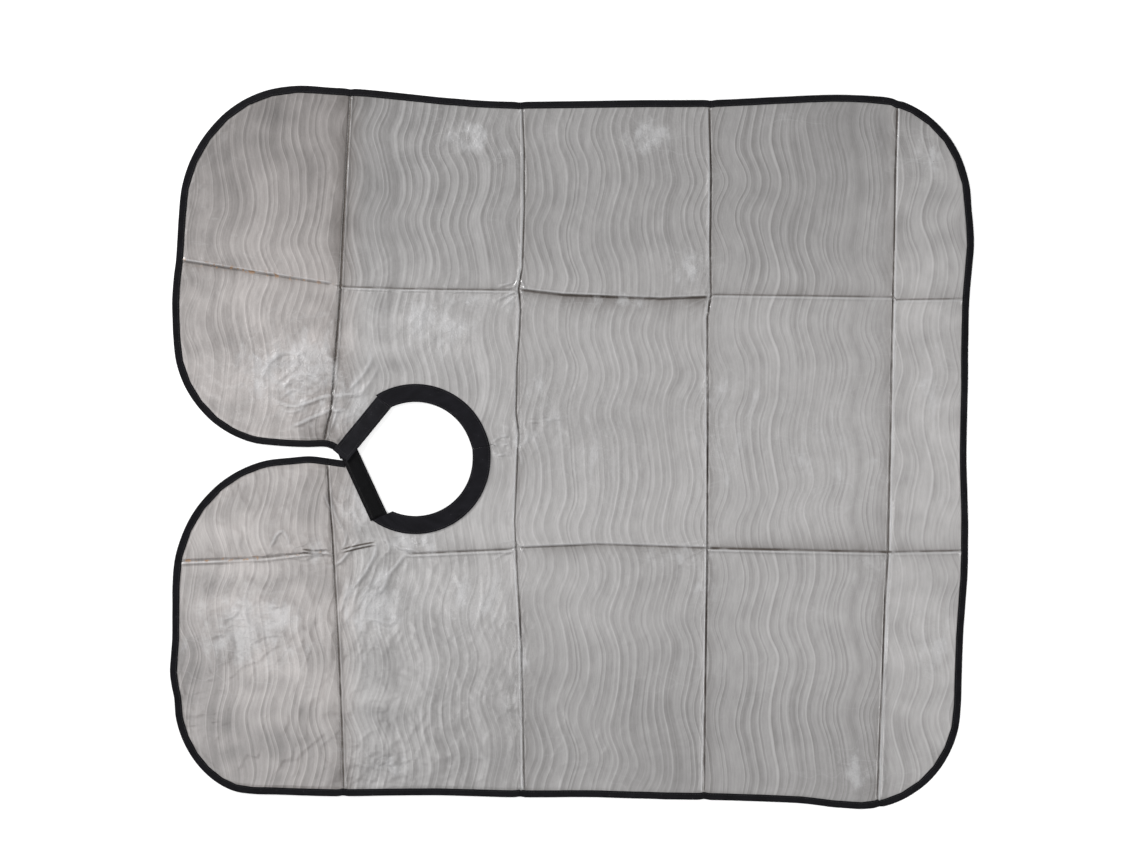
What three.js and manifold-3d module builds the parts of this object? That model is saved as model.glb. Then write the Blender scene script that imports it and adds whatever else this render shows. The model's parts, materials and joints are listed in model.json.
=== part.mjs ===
// A barber cape laid out flat: coated cloth with folded creases, bound edges, a front slit,
// a round neckband and a hook-and-loop closure. Millimetres, +Z up, floor at z = 0, origin at
// the middle of the cape. +X points away from the front slit, and the slit opens towards -X.
import * as THREE from 'three';
import { mergeVertices } from 'three/addons/utils/BufferGeometryUtils.js';
import Module from 'manifold-3d';

const wasm = await Module();
wasm.setup();
const { Manifold, Mesh: Solid } = wasm;

// ---------- Driving sizes ----------

const CAPE_WIDTH = 1114;
const CAPE_LENGTH = 1002;
const GAP = 0.3; // clearance between pieces that meet edge to edge

// Heights of the flat layers above the floor.
const BACKING_LIFT = 0.2; // the neckband's backing hangs this far above the floor
const TAPE_THICKNESS = 0.6; // one leg of the folded edge binding
const CLOTH_THICKNESS = 1.2;
const BAND_THICKNESS = 1;
const THREAD_HEIGHT = 0.3;
const THREAD_WIDTH = 0.7;

const BINDING_WIDTH = 9;
const SLIT_BINDING_WIDTH = 7.5;
const BINDING_WALL = 0.9; // the fold of the binding, outside the cloth's edge
const STITCH_INSET = 1.6; // from a binding's inner edge to its row of stitches

const NECK_CENTRE = new THREE.Vector2(-216.8, -15.9);
const NECK_RADIUS = 78.9;
const BAND_WIDTH = 25;
const BAND_HEM = 1.1; // the band's turned-down inner edge
const BAND_STITCH_INSET = 2;
const BAND_SEAM_ANGLE = 9.9;
const BAND_UPPER_END = { angle: 118.8, shift: -1.4 }; // shift: off the band's middle radius
const BAND_LOWER_END = { angle: -121.8, shift: 4 };
const BAND_STEP_ANGLE = 7;

const TAB_WIDTH = 25;
const TAB_SELVEDGE = 3.6; // plain edge beside the hooks or the pile
const HOOK_TAB_PAST_CROSSING = 14.4; // each tab runs on past the crossing of the two
const HOOK_TAB_DIRECTION = 230.8;
const LOOP_TAB_PAST_CROSSING = 4.5;
const LOOP_TAB_DIRECTION = 114.8;
const HOOK_BASE_THICKNESS = 0.8;
const HOOK_HEIGHT = 0.8;
const HOOK_END_MARGIN = 6; // bare end of the hook tape
const HOOK_RISE_BEFORE_CROSSING = 25.6; // from here the hook tape climbs onto the loop tape
const HOOK_RISE_LENGTH = 10;
const HOOK_ROOT_STEP = 8; // the tape lifts over this length next to the band
const LOOP_PILE_HEIGHT = 1.4;
const LOOP_END_MARGIN = 3;

// Each corner of the outline: how far it reaches along each side, and how round it is.
const CORNERS = {
  topLeft: { reachX: 178, reachY: 185, fullness: 0.56 },
  topRight: { reachX: 148, reachY: 172.5, fullness: 0.575 },
  bottomRight: { reachX: 156, reachY: 145, fullness: 0.55 },
  bottomLeft: { reachX: 114, reachY: 155, fullness: 0.525 },
  slitUpper: { reachX: 151, reachY: 150, fullness: 0.55 },
  slitLower: { reachX: 171, reachY: 177, fullness: 0.56 },
};
const CORNER_PARTS = 7;

// How the soft edges lie: share of the way along each side, clockwise, and the distance inside
// the overall size there.
const TOP_SIDE = [
  [0, 0], [0.12, 5.5], [0.26, 16.6], [0.375, 22], [0.6, 20], [0.74, 19.4], [0.85, 15], [0.94, 12.5],
  [1, 13.5],
];
const RIGHT_SIDE = [
  [0, 3.3], [0.072, 0], [0.185, 6.9], [0.33, 8.3], [0.5, 10.4], [0.64, 8.3], [0.75, 9.7], [0.865, 15.2],
  [1, 18.5],
];
const BOTTOM_SIDE = [
  [0, 0], [0.05, 2.8], [0.1, 8.3], [0.23, 12.5], [0.34, 14], [0.44, 16.6], [0.575, 16.6], [0.7, 19.4],
  [0.86, 18], [1, 21.4],
];
const LOWER_LEFT_SIDE = [[0, 5.5], [0.22, 0], [0.53, 3], [1, 3.5]];
const UPPER_LEFT_SIDE = [[0, 4.6], [0.3, 3], [0.54, 5.8], [0.66, 8.5], [1, 11.9]];

// The slit's two edges, from the point where the tabs cross: distance towards -X, and height.
const SLIT_UPPER_EDGE = [[2.3, -2.6], [19, -1.1], [29.3, 1], [52.8, 0.7]];
const SLIT_UPPER_MOUTH_HEIGHT = 2.5;
const SLIT_LOWER_EDGE = [[-5.7, -18.7], [9.6, -16.9], [29.3, -14], [52, -11.7]];
const SLIT_LOWER_MOUTH_HEIGHT = -13.4;
const SLIT_MIDDLE_HEIGHT = -6.5; // halfway between the two edges at the first creases

// The fold creases, as X at the cape's top and bottom edges, or at an edge and at the slit.
const CREASE_2 = { top: -72, bottom: -72 };
const CREASE_3 = { top: 192.5, bottom: 183 };
const CREASE_4 = { top: 452, bottom: 425 };
const CREASE_1_TOP = -307;
const CREASE_1_BOTTOM = -316;
const CREASE_1_FROM_TABS = 25.3; // from the crossing of the tabs to the first creases

// ---------- Heights that follow ----------

const CLOTH_BOTTOM = TAPE_THICKNESS;
const CLOTH_TOP = CLOTH_BOTTOM + CLOTH_THICKNESS;
const BINDING_TOP = CLOTH_TOP + TAPE_THICKNESS;
const BAND_TOP = CLOTH_TOP + BAND_THICKNESS;
const LOOP_BASE_TOP = CLOTH_TOP + TAPE_THICKNESS;
const PILE_TOP = LOOP_BASE_TOP + LOOP_PILE_HEIGHT;
const BAND_OUTER_RADIUS = NECK_RADIUS + BAND_WIDTH;
const BAND_MID_RADIUS = NECK_RADIUS + BAND_WIDTH / 2;
const SEAM_STITCH_LENGTH = BAND_WIDTH - 2 * (BAND_STITCH_INSET + THREAD_WIDTH + 2 * GAP);

// ---------- Materials ----------

const cloth = new THREE.MeshStandardMaterial({ color: 0xa9a6a5, roughness: 0.38, metalness: 0 });
const binding = new THREE.MeshStandardMaterial({ color: 0x1e1e21, roughness: 0.6, metalness: 0 });
const band = new THREE.MeshStandardMaterial({ color: 0x232327, roughness: 0.85, metalness: 0 });
const hookTape = new THREE.MeshStandardMaterial({ color: 0x2b2b2e, roughness: 0.7, metalness: 0 });
const loopTape = new THREE.MeshStandardMaterial({ color: 0x131315, roughness: 0.95, metalness: 0 });
const thread = new THREE.MeshStandardMaterial({ color: 0x2a2a2d, roughness: 0.7, metalness: 0 });

// ---------- Solids ----------

function extrude(points, bottom, top) {
  const shape = new THREE.Shape(points);
  const geometry = new THREE.ExtrudeGeometry(shape, { depth: top - bottom, bevelEnabled: false, steps: 1 });
  return geometry.translate(0, 0, bottom);
}

function toSolid(geometry) {
  const bare = new THREE.BufferGeometry();
  bare.setAttribute('position', geometry.getAttribute('position').clone());
  const merged = mergeVertices(bare, 1e-4);
  return new Manifold(new Solid({
    numProp: 3,
    vertProperties: new Float32Array(merged.getAttribute('position').array),
    triVerts: new Uint32Array(merged.getIndex().array),
  }));
}

function toGeometry(solid) {
  const mesh = solid.getMesh();
  const geometry = new THREE.BufferGeometry();
  geometry.setAttribute('position', new THREE.BufferAttribute(mesh.vertProperties, 3));
  geometry.setIndex(new THREE.BufferAttribute(mesh.triVerts, 1));
  const flat = geometry.toNonIndexed();
  flat.computeVertexNormals();
  return flat;
}

function prism(points, bottom, top) {
  return toSolid(extrude(points, bottom, top));
}

function joined(...solids) {
  return solids.reduce((whole, part) => whole.add(part));
}

// ---------- Plane helpers ----------

function polar(centre, radius, degrees) {
  const angle = THREE.MathUtils.degToRad(degrees);
  return new THREE.Vector2(centre.x + radius * Math.cos(angle), centre.y + radius * Math.sin(angle));
}

function heading(degrees) {
  return polar(new THREE.Vector2(), 1, degrees);
}

function leftOf(direction) {
  return new THREE.Vector2(-direction.y, direction.x);
}

function crossing(start, direction, otherStart, otherDirection) {
  const across = direction.cross(otherDirection);
  const along = otherStart.clone().sub(start).cross(otherDirection) / across;
  return start.clone().addScaledVector(direction, along);
}

// A corner as one cubic curve that leaves and meets the sides square to each other.
function cornerPoints(start, bend, end, fullness) {
  const curve = new THREE.CubicBezierCurve(
    start,
    start.clone().lerp(bend, fullness),
    end.clone().lerp(bend, fullness),
    end,
  );
  return curve.getPoints(CORNER_PARTS);
}

function smooth(points, parts) {
  return new THREE.SplineCurve(points).getPoints(parts);
}

// Moves every point of an open path to its right, by one distance or by each point's own.
function insetPath(points, distance) {
  return points.map((point, i) => {
    const before = points[Math.max(i - 1, 0)];
    const after = points[Math.min(i + 1, points.length - 1)];
    const along = after.clone().sub(before).normalize();
    const share = typeof distance === 'number' ? distance : distance[i];
    return point.clone().addScaledVector(leftOf(along), -share);
  });
}

function strip(outer, inner) {
  return [...outer, ...[...inner].reverse()];
}

function arcPoints(centre, radius, from, to) {
  const parts = Math.max(1, Math.round(Math.abs(to - from) / BAND_STEP_ANGLE));
  return Array.from({ length: parts + 1 }, (_, i) => polar(centre, radius, from + ((to - from) * i) / parts));
}

// ---------- The tabs' places ----------

const hookRoot = polar(NECK_CENTRE, BAND_MID_RADIUS + BAND_UPPER_END.shift, BAND_UPPER_END.angle);
const hookAlong = heading(HOOK_TAB_DIRECTION);
const loopRoot = polar(NECK_CENTRE, BAND_MID_RADIUS + BAND_LOWER_END.shift, BAND_LOWER_END.angle);
const loopAlong = heading(LOOP_TAB_DIRECTION);
const tabsCross = crossing(hookRoot, hookAlong, loopRoot, loopAlong);
const hookTabLength = hookRoot.distanceTo(tabsCross) + HOOK_TAB_PAST_CROSSING;
const loopTabLength = loopRoot.distanceTo(tabsCross) + LOOP_TAB_PAST_CROSSING;
const hookRiseStart = hookRoot.distanceTo(tabsCross) - HOOK_RISE_BEFORE_CROSSING;

// ---------- The outline ----------

const left = -CAPE_WIDTH / 2;
const right = CAPE_WIDTH / 2;
const top = CAPE_LENGTH / 2;
const bottom = -CAPE_LENGTH / 2;

function side(from, to, inward, lay) {
  const points = lay.map(([share, inset]) => from.clone().lerp(to, share).addScaledVector(inward, inset));
  return smooth(points, (lay.length - 1) * 2);
}

function slitEdge(points) {
  return points.map(([away, height]) => new THREE.Vector2(tabsCross.x - away, tabsCross.y + height));
}

// The cape's edge, clockwise from the slit's upper end round to its lower end.
function capeEdge() {
  const { topLeft, topRight, bottomRight, bottomLeft, slitUpper, slitLower } = CORNERS;
  const mouthUpper = tabsCross.y + SLIT_UPPER_MOUTH_HEIGHT;
  const mouthLower = tabsCross.y + SLIT_LOWER_MOUTH_HEIGHT;
  const rightward = new THREE.Vector2(1, 0);
  const upward = new THREE.Vector2(0, 1);
  const upperLeft = side(
    new THREE.Vector2(left, mouthUpper + slitUpper.reachY),
    new THREE.Vector2(left, top - topLeft.reachY),
    rightward,
    UPPER_LEFT_SIDE,
  );
  const topSide = side(
    new THREE.Vector2(left + topLeft.reachX, top),
    new THREE.Vector2(right - topRight.reachX, top),
    upward.clone().negate(),
    TOP_SIDE,
  );
  const rightSide = side(
    new THREE.Vector2(right, top - topRight.reachY),
    new THREE.Vector2(right, bottom + bottomRight.reachY),
    rightward.clone().negate(),
    RIGHT_SIDE,
  );
  const bottomSide = side(
    new THREE.Vector2(right - bottomRight.reachX, bottom),
    new THREE.Vector2(left + bottomLeft.reachX, bottom),
    upward,
    BOTTOM_SIDE,
  );
  const lowerLeft = side(
    new THREE.Vector2(left, bottom + bottomLeft.reachY),
    new THREE.Vector2(left, mouthLower - slitLower.reachY),
    rightward,
    LOWER_LEFT_SIDE,
  );
  const upperMouth = new THREE.Vector2(left + slitUpper.reachX, mouthUpper);
  const lowerMouth = new THREE.Vector2(left + slitLower.reachX, mouthLower);
  const upperSlit = slitEdge(SLIT_UPPER_EDGE);
  const lowerSlit = slitEdge([...SLIT_LOWER_EDGE].reverse());

  function turn(from, to, corner) {
    const vertical = Math.abs(from.at(-1).x - from.at(-2).x) < Math.abs(from.at(-1).y - from.at(-2).y);
    const start = from.at(-1);
    const end = to[0];
    const bend = vertical ? new THREE.Vector2(start.x, end.y) : new THREE.Vector2(end.x, start.y);
    return cornerPoints(start, bend, end, corner.fullness).slice(1, -1);
  }

  return [
    ...upperSlit,
    upperMouth,
    ...turn([...upperSlit, upperMouth], upperLeft, slitUpper),
    ...upperLeft,
    ...turn(upperLeft, topSide, topLeft),
    ...topSide,
    ...turn(topSide, rightSide, topRight),
    ...rightSide,
    ...turn(rightSide, bottomSide, bottomRight),
    ...bottomSide,
    ...turn(bottomSide, lowerLeft, bottomLeft),
    ...lowerLeft,
    ...turn(lowerLeft, [lowerMouth], slitLower),
    lowerMouth,
    ...lowerSlit,
  ];
}

const edge = capeEdge();

// The binding is narrower along the slit, and widens over the slit's round mouth.
const bindingWidths = edge.map((point) => {
  const mouth = left + CORNERS.slitUpper.reachX;
  const inSlit = Math.abs(point.y - tabsCross.y) < CORNERS.slitUpper.reachY / 2;
  const share = inSlit ? THREE.MathUtils.clamp((mouth - point.x) / (mouth - left), 0, 1) : 1;
  return THREE.MathUtils.lerp(SLIT_BINDING_WIDTH, BINDING_WIDTH, share);
});

// ---------- Regions between the creases ----------

const REACH = 400; // the region outlines run this far past the cape

const creaseAtSlit = tabsCross.x - CREASE_1_FROM_TABS;
const slitMiddle = tabsCross.y + SLIT_MIDDLE_HEIGHT;

function creaseLine(topX, topY, bottomX, bottomY, sideShift) {
  const slope = (bottomX - topX) / (bottomY - topY);
  return {
    above: new THREE.Vector2(topX + slope * REACH + sideShift, topY + REACH),
    below: new THREE.Vector2(bottomX - slope * REACH + sideShift, bottomY - REACH),
  };
}

function between(leftCrease, rightCrease) {
  return [leftCrease.below, rightCrease.below, rightCrease.above, leftCrease.above];
}

function shifted(crease, shift) {
  return creaseLine(crease.top, top, crease.bottom, bottom, shift);
}

// The first creases run from the slit to the cape's top and bottom edges.
function firstCrease(edgeX, edgeY, shift) {
  const slope = (edgeX - creaseAtSlit) / (edgeY - slitMiddle);
  const far = edgeY + Math.sign(edgeY) * REACH;
  return {
    far: new THREE.Vector2(creaseAtSlit + slope * (far - slitMiddle) + shift, far),
    near: new THREE.Vector2(creaseAtSlit + shift, slitMiddle),
  };
}

const farLeft = left - REACH;
const farRight = right + REACH;
const HALF_GAP = GAP / 2;

const upperFlapEdge = firstCrease(CREASE_1_TOP, top, -HALF_GAP);
const lowerFlapEdge = firstCrease(CREASE_1_BOTTOM, bottom, -HALF_GAP);

const regions = {
  flap_upper: [
    new THREE.Vector2(farLeft, slitMiddle),
    upperFlapEdge.near,
    upperFlapEdge.far,
    new THREE.Vector2(farLeft, top + REACH),
  ],
  flap_lower: [
    new THREE.Vector2(farLeft, bottom - REACH),
    lowerFlapEdge.far,
    lowerFlapEdge.near,
    new THREE.Vector2(farLeft, slitMiddle),
  ],
  collar: [
    firstCrease(CREASE_1_BOTTOM, bottom, HALF_GAP).far,
    shifted(CREASE_2, -HALF_GAP).below,
    shifted(CREASE_2, -HALF_GAP).above,
    firstCrease(CREASE_1_TOP, top, HALF_GAP).far,
    firstCrease(CREASE_1_TOP, top, HALF_GAP).near,
  ],
  panel_middle: between(shifted(CREASE_2, HALF_GAP), shifted(CREASE_3, -HALF_GAP)),
  panel_right: between(shifted(CREASE_3, HALF_GAP), shifted(CREASE_4, -HALF_GAP)),
  panel_end: [
    shifted(CREASE_4, HALF_GAP).below,
    new THREE.Vector2(farRight, bottom - REACH),
    new THREE.Vector2(farRight, top + REACH),
    shifted(CREASE_4, HALF_GAP).above,
  ],
};

const CUT_BOTTOM = -1; // below and above every layer
const CUT_TOP = 20;

function regionSolid(points) {
  return prism(points, CUT_BOTTOM, CUT_TOP);
}

function rectangle(x0, y0, x1, y1) {
  return [
    new THREE.Vector2(x0, y0),
    new THREE.Vector2(x1, y0),
    new THREE.Vector2(x1, y1),
    new THREE.Vector2(x0, y1),
  ];
}

// ---------- The part ----------

const part = new THREE.Group();

function addPiece(name, geometry, material) {
  const mesh = new THREE.Mesh(geometry, material);
  mesh.name = name;
  part.add(mesh);
}

// Cloth: one sheet, cut along the creases so that each panel can fold.
function addCloth() {
  const outer = insetPath(edge, BINDING_WALL + GAP);
  const neckEdge = arcPoints(NECK_CENTRE, BAND_MID_RADIUS, BAND_LOWER_END.angle, BAND_UPPER_END.angle);
  const sheet = prism([...outer, ...neckEdge], CLOTH_BOTTOM, CLOTH_TOP);
  for (const [name, region] of Object.entries(regions)) {
    addPiece(`cloth_${name}`, toGeometry(sheet.intersect(regionSolid(region))), cloth);
  }
}

// The outer side of the loop tape, where the slit's bindings end.
function loopTapeSide(clearance) {
  const outward = leftOf(loopAlong);
  return loopRoot.clone().addScaledVector(outward, TAB_WIDTH / 2 + clearance);
}

// Each stretch of the edge between creases and at the slit's end, as a region to cut by.
function bindingRegions() {
  const tapeSide = loopTapeSide(GAP);
  const creaseX = creaseAtSlit + HALF_GAP;
  const atLevel = (y) => tapeSide.x + ((y - tapeSide.y) * loopAlong.x) / loopAlong.y;
  const reach = SLIT_BINDING_WIDTH * 2;
  const slitTop = slitMiddle + reach;
  const slitBottom = slitMiddle - reach;
  const upperSlope = ((CREASE_1_TOP - creaseAtSlit) * reach) / (top - slitMiddle);
  const lowerSlope = ((CREASE_1_BOTTOM - creaseAtSlit) * reach) / (slitMiddle - bottom);
  const high = rectangle(farLeft, top / 2, farRight, top + REACH);
  const low = rectangle(farLeft, bottom - REACH, farRight, bottom / 2);
  const split = {};
  for (const [name, region] of Object.entries(regions)) {
    const whole = regionSolid(region);
    if (name.startsWith('flap') || name === 'panel_end') {
      split[name] = whole;
    } else {
      split[`${name}_top`] = whole.intersect(regionSolid(high));
      split[`${name}_bottom`] = whole.intersect(regionSolid(low));
    }
  }
  split.slit_end_upper = regionSolid([
    new THREE.Vector2(creaseX, slitMiddle),
    new THREE.Vector2(atLevel(slitMiddle), slitMiddle),
    new THREE.Vector2(atLevel(slitTop), slitTop),
    new THREE.Vector2(creaseX + upperSlope, slitTop),
  ]);
  split.slit_end_lower = regionSolid([
    new THREE.Vector2(creaseX, slitMiddle),
    new THREE.Vector2(creaseX + lowerSlope, slitBottom),
    new THREE.Vector2(atLevel(slitBottom), slitBottom),
    new THREE.Vector2(atLevel(slitMiddle), slitMiddle),
  ]);
  return split;
}

// Binding: a tape folded over the cloth's edge, and its row of stitches on top.
function addBinding() {
  const inner = insetPath(edge, bindingWidths);
  const leg = strip(edge, inner);
  const fold = strip(edge, insetPath(edge, BINDING_WALL));
  const channel = joined(
    prism(leg, 0, CLOTH_BOTTOM),
    prism(fold, CLOTH_BOTTOM, CLOTH_TOP),
    prism(leg, CLOTH_TOP, BINDING_TOP),
  );
  const stitchOuter = insetPath(edge, bindingWidths.map((width) => width - STITCH_INSET - THREAD_WIDTH));
  const stitchInner = insetPath(edge, bindingWidths.map((width) => width - STITCH_INSET));
  const stitches = prism(strip(stitchOuter, stitchInner), BINDING_TOP, BINDING_TOP + THREAD_HEIGHT);
  for (const [name, region] of Object.entries(bindingRegions())) {
    addPiece(`binding_${name}`, toGeometry(channel.intersect(region)), binding);
    if (!name.startsWith('slit_end')) {
      addPiece(`stitching_${name}`, toGeometry(stitches.intersect(region)), thread);
    }
  }
}

// Angle by which each half of the band stops short of the seam between them.
const SEAM_GAP_ANGLE = THREE.MathUtils.radToDeg(HALF_GAP / BAND_MID_RADIUS);

function tabRectangle(root, along, from, to, sideFrom, sideTo) {
  const across = leftOf(along);
  return [[from, sideFrom], [to, sideFrom], [to, sideTo], [from, sideTo]].map(([forward, sideways]) =>
    root.clone().addScaledVector(along, forward).addScaledVector(across, sideways),
  );
}

// A strip of half the band, from its seam to the root of a tab, cut square to that tab.
function bandStrip(half, innerRadius, outerRadius, bottomZ, topZ) {
  const turn = Math.sign(half.end.angle);
  const seam = BAND_SEAM_ANGLE + turn * SEAM_GAP_ANGLE;
  const past = half.end.angle + turn * THREE.MathUtils.radToDeg(TAB_WIDTH / NECK_RADIUS);
  const ring = strip(
    arcPoints(NECK_CENTRE, outerRadius, seam, past),
    arcPoints(NECK_CENTRE, innerRadius, seam, past),
  );
  const beyond = tabRectangle(half.root, half.along, -HALF_GAP, 2 * TAB_WIDTH, -2 * TAB_WIDTH, 2 * TAB_WIDTH);
  return prism(ring, bottomZ, topZ).subtract(regionSolid(beyond));
}

// Neckband: two halves, each a top strip over a backing strip with the cloth's edge between.
function addNeckband() {
  const halves = {
    upper: { end: BAND_UPPER_END, root: hookRoot, along: hookAlong },
    lower: { end: BAND_LOWER_END, root: loopRoot, along: loopAlong },
  };
  const rows = {
    inner: NECK_RADIUS + BAND_STITCH_INSET,
    outer: BAND_OUTER_RADIUS - BAND_STITCH_INSET - THREAD_WIDTH,
  };
  for (const [name, half] of Object.entries(halves)) {
    const face = bandStrip(half, NECK_RADIUS, BAND_OUTER_RADIUS, CLOTH_TOP, BAND_TOP);
    const hem = bandStrip(half, NECK_RADIUS, NECK_RADIUS + BAND_HEM, CLOTH_BOTTOM, CLOTH_TOP);
    addPiece(`neckband_${name}_face`, toGeometry(joined(face, hem)), band);
    const backing = bandStrip(half, NECK_RADIUS, BAND_OUTER_RADIUS, BACKING_LIFT, CLOTH_BOTTOM);
    addPiece(`neckband_${name}_backing`, toGeometry(backing), band);
    for (const [row, radius] of Object.entries(rows)) {
      const stitches = bandStrip(half, radius, radius + THREAD_WIDTH, BAND_TOP, BAND_TOP + THREAD_HEIGHT);
      addPiece(`stitching_neckband_${name}_${row}`, toGeometry(stitches), thread);
    }
  }
  const seam = new THREE.BoxGeometry(SEAM_STITCH_LENGTH, THREAD_WIDTH, THREAD_HEIGHT);
  seam.rotateZ(THREE.MathUtils.degToRad(BAND_SEAM_ANGLE));
  const place = polar(NECK_CENTRE, BAND_MID_RADIUS, BAND_SEAM_ANGLE);
  seam.translate(place.x, place.y, BAND_TOP + THREAD_HEIGHT / 2);
  addPiece('stitching_neckband_seam', seam, thread);
}

// Turns a side view of the hook tape, length against height, into a solid across its width.
function tapeSolid(profile, width) {
  const geometry = new THREE.ExtrudeGeometry(new THREE.Shape(profile), {
    depth: width,
    bevelEnabled: false,
    steps: 1,
  });
  const across = leftOf(hookAlong);
  const start = hookRoot.clone().addScaledVector(across, width / 2);
  const place = new THREE.Matrix4().makeBasis(
    new THREE.Vector3(hookAlong.x, hookAlong.y, 0),
    new THREE.Vector3(0, 0, 1),
    new THREE.Vector3(-across.x, -across.y, 0),
  );
  place.setPosition(start.x, start.y, 0);
  return geometry.applyMatrix4(place);
}

// Hook tape: it leaves the band, lies over the cloth and climbs onto the loop tape.
function addHookTab() {
  const low = CLOTH_TOP + GAP + HOOK_HEIGHT;
  const high = PILE_TOP + GAP + HOOK_HEIGHT;
  const riseEnd = hookRiseStart + HOOK_RISE_LENGTH;
  const baseLine = [
    [HALF_GAP, CLOTH_TOP + GAP],
    [HOOK_ROOT_STEP, low],
    [hookRiseStart, low],
    [riseEnd, high],
    [hookTabLength, high],
  ].map(([along, height]) => new THREE.Vector2(along, height));
  const topLine = baseLine.map((point) => new THREE.Vector2(point.x, point.y + HOOK_BASE_THICKNESS));
  addPiece('hook_tape', tapeSolid(strip(baseLine, topLine), TAB_WIDTH), hookTape);
  const hookLine = [
    [HOOK_ROOT_STEP, low],
    [hookRiseStart, low],
    [riseEnd, high],
    [hookTabLength - HOOK_END_MARGIN, high],
  ].map(([along, height]) => new THREE.Vector2(along, height));
  const tips = hookLine.map((point) => new THREE.Vector2(point.x, point.y - HOOK_HEIGHT));
  addPiece('hook_field', tapeSolid(strip(tips, hookLine), TAB_WIDTH - 2 * TAB_SELVEDGE), hookTape);
}

// Loop tape: a flat woven base with the raised pile between its selvedges.
function addLoopTab() {
  const half = TAB_WIDTH / 2;
  const pileHalf = half - TAB_SELVEDGE;
  const onLoop = (from, to, a, b) => tabRectangle(loopRoot, loopAlong, from, to, a, b);
  const base = onLoop(HALF_GAP, loopTabLength, -half, half);
  addPiece('loop_tape', extrude(base, CLOTH_TOP, LOOP_BASE_TOP), loopTape);
  const pile = onLoop(LOOP_END_MARGIN, loopTabLength - LOOP_END_MARGIN, -pileHalf, pileHalf);
  addPiece('loop_pile', extrude(pile, LOOP_BASE_TOP, PILE_TOP), loopTape);
  const rows = { inner: -half + BAND_STITCH_INSET, outer: half - BAND_STITCH_INSET - THREAD_WIDTH };
  for (const [row, start] of Object.entries(rows)) {
    const stitches = onLoop(LOOP_END_MARGIN, loopTabLength - LOOP_END_MARGIN, start, start + THREAD_WIDTH);
    const geometry = extrude(stitches, LOOP_BASE_TOP, LOOP_BASE_TOP + THREAD_HEIGHT);
    addPiece(`stitching_loop_tape_${row}`, geometry, thread);
  }
}

addCloth();
addBinding();
addNeckband();
addHookTab();
addLoopTab();

export default part;
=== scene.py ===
"""A barber cape laid out flat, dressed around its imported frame.

The frame gives every outline, fold line and height. This script turns its flat solids into thin
creased cloth, folded edge binding, a sewn neckband and a hook-and-loop closure. Metres, +Z up;
sizes of small details are in millimetres where their docstrings say so.
"""

import json
import logging
import math
from dataclasses import dataclass
from enum import Enum
from typing import Callable, Iterable, Sequence

import bpy
import numpy as np
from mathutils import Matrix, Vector
from mathutils.geometry import delaunay_2d_cdt

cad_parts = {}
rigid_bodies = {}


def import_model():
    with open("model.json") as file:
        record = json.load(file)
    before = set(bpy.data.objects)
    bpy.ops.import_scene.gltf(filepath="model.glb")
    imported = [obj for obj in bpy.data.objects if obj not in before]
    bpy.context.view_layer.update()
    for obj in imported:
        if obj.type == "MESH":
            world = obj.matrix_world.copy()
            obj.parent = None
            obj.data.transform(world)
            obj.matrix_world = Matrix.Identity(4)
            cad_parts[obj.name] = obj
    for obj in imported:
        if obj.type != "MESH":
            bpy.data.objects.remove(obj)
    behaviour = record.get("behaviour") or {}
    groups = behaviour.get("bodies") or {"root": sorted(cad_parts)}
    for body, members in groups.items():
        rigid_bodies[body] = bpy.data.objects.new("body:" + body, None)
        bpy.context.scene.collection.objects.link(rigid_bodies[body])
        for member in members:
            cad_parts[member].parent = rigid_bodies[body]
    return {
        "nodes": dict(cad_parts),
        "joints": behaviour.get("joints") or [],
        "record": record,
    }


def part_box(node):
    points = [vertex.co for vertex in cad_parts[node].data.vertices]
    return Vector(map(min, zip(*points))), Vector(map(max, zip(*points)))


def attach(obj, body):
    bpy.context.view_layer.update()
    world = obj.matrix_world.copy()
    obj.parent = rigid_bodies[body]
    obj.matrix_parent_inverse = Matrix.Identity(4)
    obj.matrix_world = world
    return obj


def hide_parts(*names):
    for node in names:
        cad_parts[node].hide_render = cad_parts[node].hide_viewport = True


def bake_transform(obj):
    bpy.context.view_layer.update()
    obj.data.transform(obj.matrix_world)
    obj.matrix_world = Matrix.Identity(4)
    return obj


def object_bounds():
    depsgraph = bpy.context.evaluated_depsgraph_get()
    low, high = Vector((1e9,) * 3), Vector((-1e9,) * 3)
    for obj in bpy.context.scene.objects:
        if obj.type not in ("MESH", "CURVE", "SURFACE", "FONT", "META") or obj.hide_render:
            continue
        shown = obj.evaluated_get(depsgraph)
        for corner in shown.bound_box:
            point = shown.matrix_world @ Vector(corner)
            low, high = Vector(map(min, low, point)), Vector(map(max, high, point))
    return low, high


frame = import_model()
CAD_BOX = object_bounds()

Array = np.ndarray
Line = Callable[[Array], Array]
Faces = list[list[int]]
Colour = tuple[float, float, float, float]
MM = 0.001
LOG = logging.getLogger("cape")
HALF_WIDTH = (CAD_BOX[1].x - CAD_BOX[0].x) / 2
HALF_LENGTH = (CAD_BOX[1].y - CAD_BOX[0].y) / 2


# ---------------------------------------------------------------- plane and number helpers


def smoothstep(low: float, high: float, value: Array) -> Array:
    """Eases from 0 at low to 1 at high."""
    t = np.clip((value - low) / (high - low), 0.0, 1.0)
    return t * t * (3.0 - 2.0 * t)


def bell(distance: Array, width: float) -> Array:
    """A smooth bump of height 1 and the given half width."""
    return np.exp(-((distance / width) ** 2))


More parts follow.
